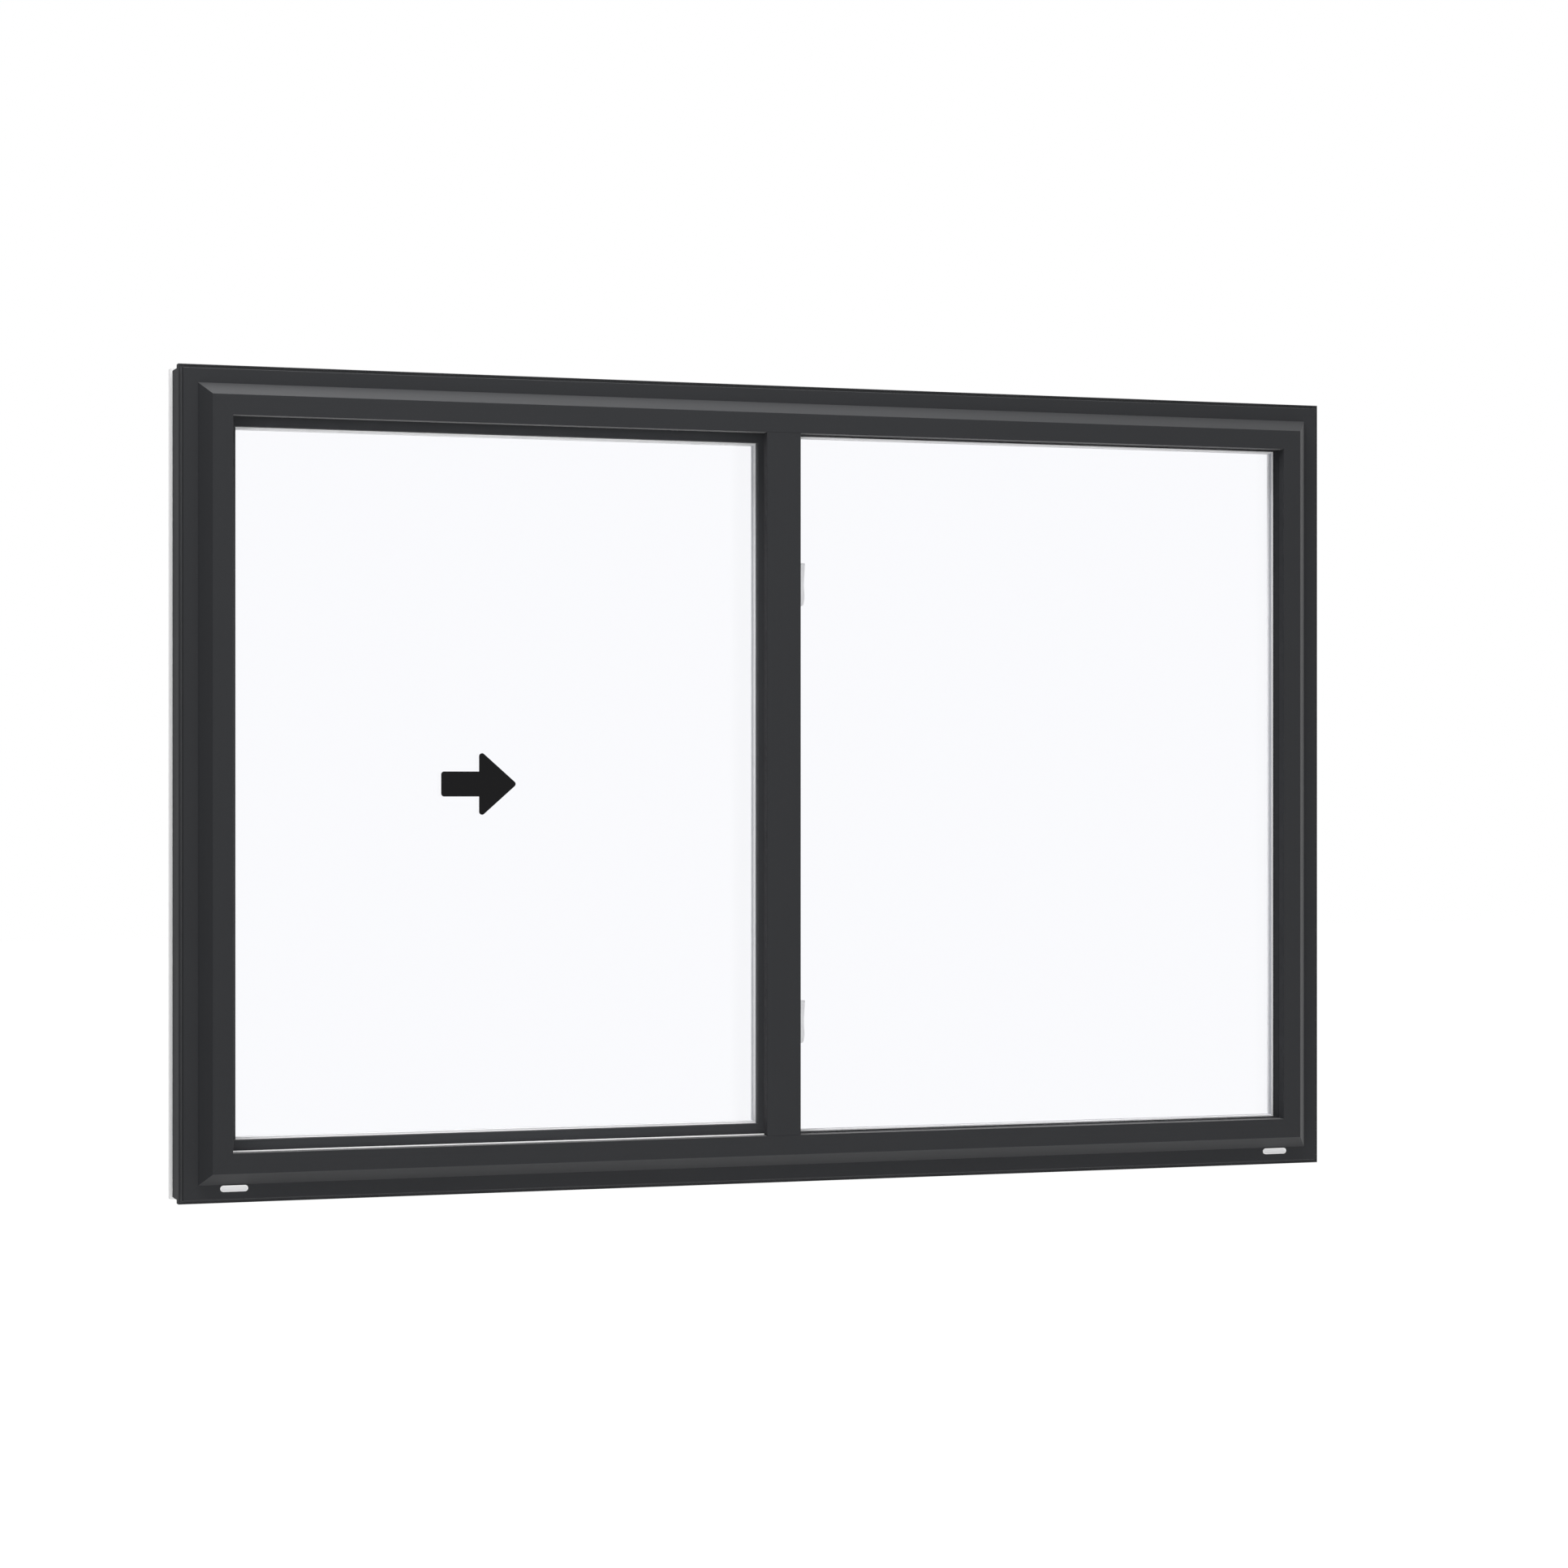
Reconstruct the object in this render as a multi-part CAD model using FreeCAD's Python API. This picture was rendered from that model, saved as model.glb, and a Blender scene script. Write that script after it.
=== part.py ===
# Horizontal sliding window: a fixed lite on the right and a sliding sash on the left.
# X runs to the right as seen from outside, Y from outside towards the room, Z up.
# The origin is the middle of the sill heel's underside, which stands on the rough opening.

import FreeCAD, Part
import math
import os
from FreeCAD import Vector

# Overall size of the frame.
FRAME_WIDTH = 1816.0
FRAME_HEIGHT = 1206.5

# Frame section. An inset is measured in from the outer edge, a depth from the
# front of the outer flange towards the room, so what stands proud is negative.
WALL = 2.3
FLANGE_DEPTH = 16.4
FLANGE_OVERHANG = 3.1
EDGE_LIP = 2.7
GROOVE_WIDTH = 3.0
GROOVE_DEPTH = 2.0
STEP_PROUD = 6.0
BEVEL_START = 26.8
BEVEL_END = 44.5
FACE_PROUD = 29.0
FACE_INNER_EDGE = 73.7
LIP_DRAFT = 0.5
LIP_DEPTH = 16.6
SKIN_THICKNESS = 11.9
SKIN_BACK = -2.0
HEEL_WIDTH = 16.6
HEEL_GAP = 6.0
EDGE_RADIUS = 0.8

# Room-side section: a glazing channel outside, a sash pocket inside, a low leg at the back.
CHANNEL_HEIGHT = 16.5
STOP_STEP = 0.3
FIN_STEP = 4.4
COVER_STEP = 2.3
POCKET_FLOOR = 24.0
ROOM_LEG_TOP = 44.0

# Glass units: two panes with a spacer between them.
PANE = 3.0
UNIT_THICKNESS = 15.0
GLASS_BITE = 12.5
SPACER_SIGHT = 2.8
FIXED_GLASS_DEPTH = 5.0
FIXED_BEAD_THICKNESS = 5.5
STOP_WALL = 1.8

# Fixed meeting stile in the middle of the frame.
STILE_LEFT = -27.2
STILE_RIGHT = 26.5
STILE_CAP_DEPTH = 15.0
STILE_CORE_LEFT = -10.0

# Sliding sash.
SASH_FACE_WIDTH = 54.6
SASH_FIN_GAP = 3.2
SASH_THICKNESS = 34.0
SASH_REVEAL = 12.5
SASH_MEETING_EDGE = 33.3
SASH_SIDE_CLEARANCE = 7.2
SASH_HEAD_CLEARANCE = 6.0
SASH_TRACK_GAP = 8.4
BEAD_NOSE = 1.6
BEAD_SEAT = 34.0
GRIP_CLEARANCE = 5.0
GRIP_REACH = 12.0
GRIP_LIP = 7.0

# Roller track and rollers under the sash.
TRACK_RIB_WIDTH = 3.0
TRACK_RIB_HEIGHT = 3.0
TRACK_RIB_ROUND = 1.35
TRACK_BASE_WIDTH = 12.0
TRACK_BASE_HEIGHT = 1.0
WHEEL_RADIUS = 8.0
WHEEL_FLANGE = 1.0
WHEEL_WIDTH = 6.0
AXLE_RADIUS = 1.5
AXLE_CLEARANCE = 0.1
HOUSING_LENGTH = 60.0
HOUSING_HEIGHT = 15.0
HOUSING_WALL = 1.2
ROLLER_FROM_SASH_END = 130.0
GUIDE_LENGTH = 40.0
GUIDE_CLEARANCE = 0.5

# Pile strips between the track fin and the sash.
PILE_WIDTH = 5.0
PILE_GAP = 0.3

# Interlock hooks between the two meeting stiles.
HOOK_WALL = 1.5
FIXED_HOOK_LEFT = -5.0
FIXED_HOOK_REACH = 7.0
HOOK_HEIGHT = 4.1
SASH_HOOK_RIGHT = 8.0
SASH_HOOK_REACH = 9.0
SASH_HOOK_BASE = 7.0
SASH_HOOK_GAP = 0.9
SASH_HOOK_TIP = 1.0

# Drain covers on the sill, and the slot behind each.
WEEP_LENGTH = 40.2
WEEP_HEIGHT = 9.1
WEEP_PROUD = 1.6
WEEP_RIM = 1.2
WEEP_RECESS = 0.7
WEEP_INSET = 21.3
WEEP_FROM_SIDE = 79.0
WEEP_SLOT_LENGTH = 26.0
WEEP_SLOT_HEIGHT = 4.6

# Sweep locks on the room side of the meeting stiles.
LOCK_HEIGHTS = (239.8, 908.3)
LOCK_LENGTH = 64.5
LOCK_WIDTH = 20.0
LOCK_CASE_THICKNESS = 10.0
LOCK_CENTRE_DEPTH = 48.0
LOCK_HUB_RADIUS = 8.0
LOCK_HUB_HEIGHT = 3.8
LOCK_EDGE_RADIUS = 2.0
LEVER_LENGTH = 65.7
LEVER_WIDTH = 12.0
LEVER_TOP_THICKNESS = 10.9
LEVER_WAIST_THICKNESS = 8.6
LEVER_TAIL_THICKNESS = 9.9
LEVER_TAIL_DROP = 20.0
LEVER_WAIST_BEND = 60.0
LEVER_TAIL_BEND = 14.0
LEVER_END_THICKNESS = 7.9
LEVER_END_RADIUS = 4.4
LEVER_EDGE_RADIUS = 1.2
TONGUE_LENGTH = 30.0
TONGUE_WIDTH = 7.0
KEEPER_LENGTH = 46.0
KEEPER_PLATE = 1.5
KEEPER_WALL = 2.5
KEEPER_RISE = 4.0
KEEPER_FOOT = 12.5
KEEPER_CLEARANCE = 1.0

# Insets that follow from the values above.
FIXED_STOP_TOP = FACE_INNER_EDGE + LIP_DRAFT + STOP_STEP
TRACK_FIN_TOP = FIXED_STOP_TOP - FIN_STEP
CHANNEL_COVER_TOP = FIXED_STOP_TOP - COVER_STEP
CHANNEL_FLOOR = FIXED_STOP_TOP - CHANNEL_HEIGHT
SKIN_INSET = FLANGE_OVERHANG + SKIN_THICKNESS
SEAT_INSET = CHANNEL_FLOOR - WALL
GRIP_INSET = ROOM_LEG_TOP - POCKET_FLOOR - SASH_SIDE_CLEARANCE + GRIP_CLEARANCE

# Depths that follow, from the outside to the room.
LIP_BACK = LIP_DEPTH - FACE_PROUD
TRACK_FIN_FACE = FIXED_GLASS_DEPTH + UNIT_THICKNESS + FIXED_BEAD_THICKNESS
TRACK_FIN_BACK = TRACK_FIN_FACE + WALL
SASH_FRONT = TRACK_FIN_BACK + SASH_FIN_GAP
SASH_GLASS_DEPTH = SASH_FRONT + SASH_REVEAL
ROLLER_DEPTH = SASH_GLASS_DEPTH + UNIT_THICKNESS / 2
BEAD_LINE = SASH_GLASS_DEPTH + UNIT_THICKNESS
SASH_BACK = SASH_FRONT + SASH_THICKNESS
HEEL_START = SASH_BACK + HEEL_GAP
FRAME_BACK = HEEL_START + HEEL_WIDTH

# Depth of the middle of the heel, where the origin lies.
SEAT_DEPTH = (HEEL_START + FRAME_BACK) / 2

SIDES = ("head", "sill", "left", "right")


class Rectangle:
    """An upright rectangle that a ring of members is measured in from."""

    def __init__(self, left, right, bottom, top):
        self.left = left
        self.right = right
        self.bottom = bottom
        self.top = top

    def width(self):
        return self.right - self.left

    def height(self):
        return self.top - self.bottom

    def shrunk(self, left, right, bottom, top):
        return Rectangle(self.left + left, self.right - right, self.bottom + bottom, self.top - top)


FRAME = Rectangle(-FRAME_WIDTH / 2, FRAME_WIDTH / 2, 0.0, FRAME_HEIGHT)
FIXED_SIDE = Rectangle(STILE_RIGHT, FRAME.right, FRAME.bottom, FRAME.top)
SASH = Rectangle(
    FRAME.left + POCKET_FLOOR + SASH_SIDE_CLEARANCE,
    SASH_MEETING_EDGE,
    FRAME.bottom + POCKET_FLOOR + SASH_TRACK_GAP,
    FRAME.top - POCKET_FLOOR - SASH_HEAD_CLEARANCE,
)


def at_depth(depth):
    """Y of a depth that is measured from the front of the flange."""
    return depth - SEAT_DEPTH


def section_point(side, ring, inset, depth):
    """Where a point of a member's section lies at the start of the member's run."""
    y = at_depth(depth)
    if side == "sill":
        return Vector(ring.left, y, ring.bottom + inset)
    if side == "head":
        return Vector(ring.left, y, ring.top - inset)
    if side == "left":
        return Vector(ring.left + inset, y, ring.bottom)
    return Vector(ring.right - inset, y, ring.bottom)


def closed_wire(corners, to_space):
    """A closed outline of straight runs; a corner's third number is its radius."""
    edges = []
    starts = []
    ends = []
    arcs = []
    count = len(corners)
    for index, corner in enumerate(corners):
        here = Vector(corner[0], corner[1], 0)
        radius = corner[2] if len(corner) > 2 else 0.0
        if radius == 0.0:
            starts.append(here)
            ends.append(here)
            arcs.append(None)
            continue
        before = Vector(corners[index - 1][0], corners[index - 1][1], 0) - here
        after = Vector(corners[(index + 1) % count][0], corners[(index + 1) % count][1], 0) - here
        before.normalize()
        after.normalize()
        half_angle = before.getAngle(after) / 2
        setback = radius / math.tan(half_angle)
        inward = before + after
        inward.normalize()
        centre = here + inward * (radius / math.sin(half_angle))
        starts.append(here + before * setback)
        ends.append(here + after * setback)
        arcs.append(centre - inward * radius)
    for index in range(count):
        if arcs[index] is not None:
            arc_points = [starts[index], arcs[index], ends[index]]
            in_space = [to_space(point.x, point.y) for point in arc_points]
            edges.append(Part.Arc(*in_space).toShape())
        following = (index + 1) % count
        run_start = to_space(ends[index].x, ends[index].y)
        run_end = to_space(starts[following].x, starts[following].y)
        edges.append(Part.makeLine(run_start, run_end))
    return Part.Wire(edges)


def profile_face(outline, chambers, to_space):
    """A flat section with its hollow chambers left open."""
    face = Part.Face(closed_wire(outline, to_space))
    for chamber in chambers:
        face = face.cut(Part.Face(closed_wire(chamber, to_space)))
    return face.Faces[0]


def box_outline(inset_low, inset_high, depth_low, depth_high):
    """The four corners of a rectangular outline."""
    return [
        (inset_low, depth_low),
        (inset_high, depth_low),
        (inset_high, depth_high),
        (inset_low, depth_high),
    ]


def mitre_block(side, ring, reach, square_left):
    """The room that one member takes in its ring, with mitred ends."""
    left_cut = 0.0 if square_left else reach
    if side == "sill":
        corners = [
            (ring.left, ring.bottom),
            (ring.right, ring.bottom),
            (ring.right - reach, ring.bottom + reach),
            (ring.left + left_cut, ring.bottom + reach),
        ]
    elif side == "head":
        corners = [
            (ring.left, ring.top),
            (ring.right, ring.top),
            (ring.right - reach, ring.top - reach),
            (ring.left + left_cut, ring.top - reach),
        ]
    elif side == "left":
        corners = [
            (ring.left, ring.bottom),
            (ring.left, ring.top),
            (ring.left + reach, ring.top - reach),
            (ring.left + reach, ring.bottom + reach),
        ]
    else:
        corners = [
            (ring.right, ring.bottom),
            (ring.right, ring.top),
            (ring.right - reach, ring.top - reach),
            (ring.right - reach, ring.bottom + reach),
        ]
    front = at_depth(-FACE_PROUD) - WALL
    back = at_depth(FRAME_BACK) + WALL
    points = [Vector(x, front, z) for x, z in corners]
    block_face = Part.Face(Part.makePolygon(points + points[:1]))
    return block_face.extrude(Vector(0, back - front, 0))


def ring_member(side, ring, outline, chambers=(), square_left=False):
    """One side of a ring: a hollow section run along the side and mitred."""

    def to_space(inset, depth):
        return section_point(side, ring, inset, depth)

    face = profile_face(outline, chambers, to_space)
    if side in ("sill", "head"):
        run = Vector(ring.width(), 0, 0)
    else:
        run = Vector(0, 0, ring.height())
    reach = max(corner[0] for corner in outline) + WALL
    bar = face.extrude(run)
    return bar.common(mitre_block(side, ring, reach, square_left)).Solids[0]


def upright(outline, chambers, bottom, top):
    """A vertical bar whose section is given as X and depth."""

    def to_space(x, depth):
        return Vector(x, at_depth(depth), bottom)

    return profile_face(outline, chambers, to_space).extrude(Vector(0, 0, top - bottom))


def block(x_low, x_high, depth_low, depth_high, z_low, z_high):
    """A plain rectangular solid."""
    corner = Vector(x_low, at_depth(depth_low), z_low)
    return Part.makeBox(x_high - x_low, depth_high - depth_low, z_high - z_low, corner)


def round_ended(length, width, to_space, thickness):
    """A flat plate with full round ends, laid out by a function and given a thickness."""
    half_run = (length - width) / 2
    radius = width / 2
    far_arc = [
        to_space(half_run, -radius),
        to_space(half_run + radius, 0),
        to_space(half_run, radius),
    ]
    near_arc = [
        to_space(-half_run, radius),
        to_space(-half_run - radius, 0),
        to_space(-half_run, -radius),
    ]
    edges = [
        Part.Arc(*far_arc).toShape(),
        Part.makeLine(far_arc[-1], near_arc[0]),
        Part.Arc(*near_arc).toShape(),
        Part.makeLine(near_arc[-1], far_arc[0]),
    ]
    return Part.Face(Part.Wire(edges)).extrude(thickness)


def rounded_outer_edges(solid, beyond_x, radius):
    """The solid with every edge on its right-hand face rounded."""
    outer = [edge for edge in solid.Edges if edge.BoundBox.XMin > beyond_x]
    return solid.makeFillet(radius, outer)


def frame_exterior(side):
    """The dark outer extrusion: flange, moulded face, lip and outer wall."""
    lip_inset = FACE_INNER_EDGE + LIP_DRAFT
    outline = [
        (0, 0, EDGE_RADIUS),
        (EDGE_LIP, 0, EDGE_RADIUS),
        (EDGE_LIP, GROOVE_DEPTH),
        (EDGE_LIP + GROOVE_WIDTH, GROOVE_DEPTH),
        (EDGE_LIP + GROOVE_WIDTH, -STEP_PROUD, EDGE_RADIUS),
        (BEVEL_START, -STEP_PROUD),
        (BEVEL_END, -FACE_PROUD, EDGE_RADIUS),
        (FACE_INNER_EDGE, -FACE_PROUD, EDGE_RADIUS),
        (lip_inset, LIP_BACK, EDGE_RADIUS),
        (SEAT_INSET, LIP_BACK),
        (SEAT_INSET, SKIN_BACK),
        (SKIN_INSET, SKIN_BACK),
        (SKIN_INSET, HEEL_START),
        (FLANGE_OVERHANG, HEEL_START),
        (FLANGE_OVERHANG, FLANGE_DEPTH),
        (0, FLANGE_DEPTH),
    ]
    slope = (BEVEL_END - BEVEL_START) / (FACE_PROUD - STEP_PROUD)
    bevel_wall = WALL * math.hypot(1.0, slope)

    def behind_bevel(depth):
        return BEVEL_START + bevel_wall + slope * (-STEP_PROUD - depth)

    front = -FACE_PROUD + WALL
    nose_back = LIP_BACK - WALL
    deep_back = SKIN_BACK - WALL
    nose = [
        (behind_bevel(front), front),
        (FACE_INNER_EDGE - WALL, front),
        (lip_inset - WALL, nose_back),
        (SEAT_INSET - WALL, nose_back),
        (SEAT_INSET - WALL, deep_back),
        (behind_bevel(deep_back), deep_back),
    ]
    step = box_outline(
        EDGE_LIP + GROOVE_WIDTH + WALL, SKIN_INSET - WALL, WALL - STEP_PROUD, FLANGE_DEPTH - WALL
    )
    outer_wall = box_outline(
        FLANGE_OVERHANG + WALL, SKIN_INSET - WALL, FLANGE_DEPTH, HEEL_START - WALL
    )
    bar = ring_member(side, FRAME, outline, [nose, step, outer_wall])
    if side == "sill":
        for centre_x in weep_centres():
            bar = bar.cut(weep_slot(centre_x))
    return bar


def frame_interior(side):
    """The white room-side extrusion: glazing channel, track fin, sash pocket and leg."""
    outline = [
        (SKIN_INSET, SKIN_BACK),
        (SEAT_INSET, SKIN_BACK),
        (SEAT_INSET, LIP_BACK),
        (CHANNEL_FLOOR, LIP_BACK),
        (CHANNEL_FLOOR, TRACK_FIN_FACE),
        (TRACK_FIN_TOP, TRACK_FIN_FACE, EDGE_RADIUS),
        (TRACK_FIN_TOP, TRACK_FIN_BACK, EDGE_RADIUS),
        (POCKET_FLOOR, TRACK_FIN_BACK),
        (POCKET_FLOOR, HEEL_START),
        (ROOM_LEG_TOP, HEEL_START, EDGE_RADIUS),
        (ROOM_LEG_TOP, FRAME_BACK, EDGE_RADIUS),
        (0, FRAME_BACK, EDGE_RADIUS),
        (0, HEEL_START),
        (SKIN_INSET, HEEL_START),
    ]
    middle = (SKIN_INSET + SEAT_INSET) / 2
    front_box = SKIN_BACK + WALL
    chambers = [
        box_outline(SKIN_INSET + WALL, middle - WALL / 2, front_box, TRACK_FIN_FACE),
        box_outline(middle + WALL / 2, SEAT_INSET, front_box, TRACK_FIN_FACE),
        box_outline(SKIN_INSET + WALL, POCKET_FLOOR - WALL, TRACK_FIN_BACK, HEEL_START - WALL),
        box_outline(WALL, ROOM_LEG_TOP - WALL, HEEL_START + WALL, FRAME_BACK - WALL),
    ]
    return ring_member(side, FRAME, outline, chambers)


def fixed_stop(side):
    """The dark stop that closes the channel in front of the fixed glass."""
    outline = [
        (CHANNEL_FLOOR, LIP_BACK),
        (FIXED_STOP_TOP, LIP_BACK),
        (FIXED_STOP_TOP, FIXED_GLASS_DEPTH, EDGE_RADIUS),
        (CHANNEL_FLOOR, FIXED_GLASS_DEPTH),
    ]
    chamber = box_outline(
        CHANNEL_FLOOR + STOP_WALL,
        FIXED_STOP_TOP - STOP_WALL,
        LIP_BACK + STOP_WALL,
        FIXED_GLASS_DEPTH - STOP_WALL,
    )
    return ring_member(side, FIXED_SIDE, outline, [chamber], square_left=True)


def fixed_bead(side):
    """The white bead that holds the fixed glass from the room side."""
    bead_front = FIXED_GLASS_DEPTH + UNIT_THICKNESS
    outline = [
        (CHANNEL_FLOOR, bead_front),
        (FIXED_STOP_TOP + SPACER_SIGHT, bead_front),
        (FIXED_STOP_TOP + SPACER_SIGHT, TRACK_FIN_FACE, EDGE_RADIUS),
        (CHANNEL_FLOOR, TRACK_FIN_FACE),
    ]
    ring = Rectangle(STILE_RIGHT + SPACER_SIGHT, FRAME.right, FRAME.bottom, FRAME.top)
    return ring_member(side, ring, outline, square_left=True)


def sill_channel_cover():
    """The white snap-in cover over the sill channel in front of the sash."""
    leg = STOP_WALL
    outline = [
        (CHANNEL_FLOOR, LIP_BACK),
        (CHANNEL_COVER_TOP, LIP_BACK, EDGE_RADIUS),
        (CHANNEL_COVER_TOP, TRACK_FIN_FACE, EDGE_RADIUS),
        (CHANNEL_FLOOR, TRACK_FIN_FACE),
        (CHANNEL_FLOOR, TRACK_FIN_FACE - leg),
        (CHANNEL_COVER_TOP - leg, TRACK_FIN_FACE - leg),
        (CHANNEL_COVER_TOP - leg, LIP_BACK + leg),
        (CHANNEL_FLOOR, LIP_BACK + leg),
    ]
    start = FRAME.left + CHANNEL_FLOOR

    def to_space(inset, depth):
        return Vector(start, at_depth(depth), FRAME.bottom + inset)

    run = Vector(STILE_CORE_LEFT - start, 0, 0)
    return profile_face(outline, [], to_space).extrude(run)


def fixed_stile_exterior(head, sill):
    """The dark fixed meeting stile, coped to the lips of head and sill."""
    cap_back = STILE_CAP_DEPTH - FACE_PROUD
    outline = [
        (STILE_LEFT, -FACE_PROUD, EDGE_RADIUS),
        (STILE_RIGHT, -FACE_PROUD, EDGE_RADIUS),
        (STILE_RIGHT, FIXED_GLASS_DEPTH, EDGE_RADIUS),
        (STILE_CORE_LEFT, FIXED_GLASS_DEPTH),
        (STILE_CORE_LEFT, cap_back),
        (STILE_LEFT, cap_back, EDGE_RADIUS),
    ]
    cap = box_outline(
        STILE_LEFT + WALL, STILE_RIGHT - WALL, WALL - FACE_PROUD, cap_back - WALL
    )
    core = box_outline(
        STILE_CORE_LEFT + WALL, STILE_RIGHT - WALL, cap_back, FIXED_GLASS_DEPTH - WALL
    )
    bottom = FRAME.bottom + FACE_INNER_EDGE
    top = FRAME.top - FACE_INNER_EDGE
    bar = upright(outline, [cap, core], bottom, top)
    return bar.cut(head).cut(sill).Solids[0]


def fixed_stile_interior():
    """The white room-side half of the fixed meeting stile, with its interlock hook."""
    unit_left = STILE_RIGHT - GLASS_BITE
    unit_back = FIXED_GLASS_DEPTH + UNIT_THICKNESS
    outline = [
        (STILE_CORE_LEFT, FIXED_GLASS_DEPTH),
        (unit_left, FIXED_GLASS_DEPTH),
        (unit_left, unit_back),
        (STILE_RIGHT + SPACER_SIGHT, unit_back),
        (STILE_RIGHT + SPACER_SIGHT, TRACK_FIN_FACE, EDGE_RADIUS),
        (STILE_CORE_LEFT, TRACK_FIN_FACE, EDGE_RADIUS),
    ]
    chamber = box_outline(
        STILE_CORE_LEFT + WALL, unit_left - WALL, FIXED_GLASS_DEPTH + WALL, unit_back - WALL
    )
    body = upright(outline, [chamber], FRAME.bottom + CHANNEL_FLOOR, FRAME.top - CHANNEL_FLOOR)
    hook_back = TRACK_FIN_FACE + HOOK_HEIGHT
    hook = [
        (FIXED_HOOK_LEFT, TRACK_FIN_FACE),
        (FIXED_HOOK_LEFT + HOOK_WALL, TRACK_FIN_FACE),
        (FIXED_HOOK_LEFT + HOOK_WALL, hook_back - HOOK_WALL),
        (FIXED_HOOK_LEFT + FIXED_HOOK_REACH, hook_back - HOOK_WALL),
        (FIXED_HOOK_LEFT + FIXED_HOOK_REACH, hook_back),
        (FIXED_HOOK_LEFT, hook_back),
    ]
    hook_bar = upright(hook, [], FRAME.bottom + FIXED_STOP_TOP, FRAME.top - FIXED_STOP_TOP)
    return body.fuse(hook_bar).removeSplitter()


def sash_interlock():
    """The dark hook on the sash's meeting stile that nests in the fixed one."""
    tip = TRACK_FIN_FACE + SASH_HOOK_GAP
    left = SASH_HOOK_RIGHT - SASH_HOOK_REACH
    outline = [
        (SASH_HOOK_RIGHT - HOOK_WALL, SASH_FRONT),
        (SASH_HOOK_RIGHT - HOOK_WALL, tip + SASH_HOOK_TIP),
        (left, tip + SASH_HOOK_TIP),
        (left, tip),
        (SASH_HOOK_RIGHT, tip),
        (SASH_HOOK_RIGHT, SASH_FRONT - HOOK_WALL),
        (SASH_HOOK_RIGHT + SASH_HOOK_BASE, SASH_FRONT - HOOK_WALL),
        (SASH_HOOK_RIGHT + SASH_HOOK_BASE, SASH_FRONT),
    ]
    return upright(outline, [], FRAME.bottom + FIXED_STOP_TOP, FRAME.top - FIXED_STOP_TOP)


def glass_unit(left, right, bottom, top, depth, sight):
    """Outer pane, inner pane and the spacer ring between them."""
    outer = block(left, right, depth, depth + PANE, bottom, top)
    back = depth + UNIT_THICKNESS
    inner = block(left, right, back - PANE, back, bottom, top)
    ring = block(left, right, depth + PANE, back - PANE, bottom, top)
    inside = block(sight.left, sight.right, depth, back, sight.bottom, sight.top)
    return outer, inner, ring.cut(inside)


def fixed_glass():
    """The fixed lite, held between stop and bead."""
    edge = FIXED_STOP_TOP - GLASS_BITE
    inner_edge = FIXED_STOP_TOP + SPACER_SIGHT
    sight = Rectangle(
        STILE_RIGHT + SPACER_SIGHT,
        FRAME.right - inner_edge,
        FRAME.bottom + inner_edge,
        FRAME.top - inner_edge,
    )
    return glass_unit(
        STILE_RIGHT - GLASS_BITE,
        FRAME.right - edge,
        FRAME.bottom + edge,
        FRAME.top - edge,
        FIXED_GLASS_DEPTH,
        sight,
    )


def sash_glass():
    """The glass unit of the sliding sash."""
    edge = SASH_FACE_WIDTH - GLASS_BITE
    inner_edge = SASH_FACE_WIDTH + SPACER_SIGHT
    unit = SASH.shrunk(edge, edge, edge, edge)
    sight = SASH.shrunk(inner_edge, inner_edge, inner_edge, inner_edge)
    return glass_unit(unit.left, unit.right, unit.bottom, unit.top, SASH_GLASS_DEPTH, sight)


def sash_exterior(side):
    """The dark outside half of a sash rail or stile."""
    outline = [
        (0, SASH_FRONT, EDGE_RADIUS),
        (SASH_FACE_WIDTH, SASH_FRONT, EDGE_RADIUS),
        (SASH_FACE_WIDTH, SASH_GLASS_DEPTH, EDGE_RADIUS),
        (0, SASH_GLASS_DEPTH),
    ]
    middle = SASH_FACE_WIDTH / 2
    front = SASH_FRONT + WALL
    back = SASH_GLASS_DEPTH - WALL
    chambers = [
        box_outline(WALL, middle - WALL / 2, front, back),
        box_outline(middle + WALL / 2, SASH_FACE_WIDTH - WALL, front, back),
    ]
    return ring_member(side, SASH, outline, chambers)


def roller_chamber():
    """The chamber of the inside half that takes the rollers, as insets and depths."""
    return (WALL, WALL + HOUSING_HEIGHT + WALL, SASH_GLASS_DEPTH + WALL, BEAD_LINE - WALL)


def grip_corners():
    """The pull grip that stands out from the back of the pull stile."""
    grip_back = SASH_BACK + GRIP_REACH
    return [
        (GRIP_INSET + WALL, SASH_BACK),
        (GRIP_INSET + WALL, grip_back - WALL),
        (GRIP_INSET + GRIP_LIP, grip_back - WALL, EDGE_RADIUS),
        (GRIP_INSET + GRIP_LIP, grip_back, EDGE_RADIUS),
        (GRIP_INSET, grip_back, EDGE_RADIUS),
        (GRIP_INSET, SASH_BACK),
    ]


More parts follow.
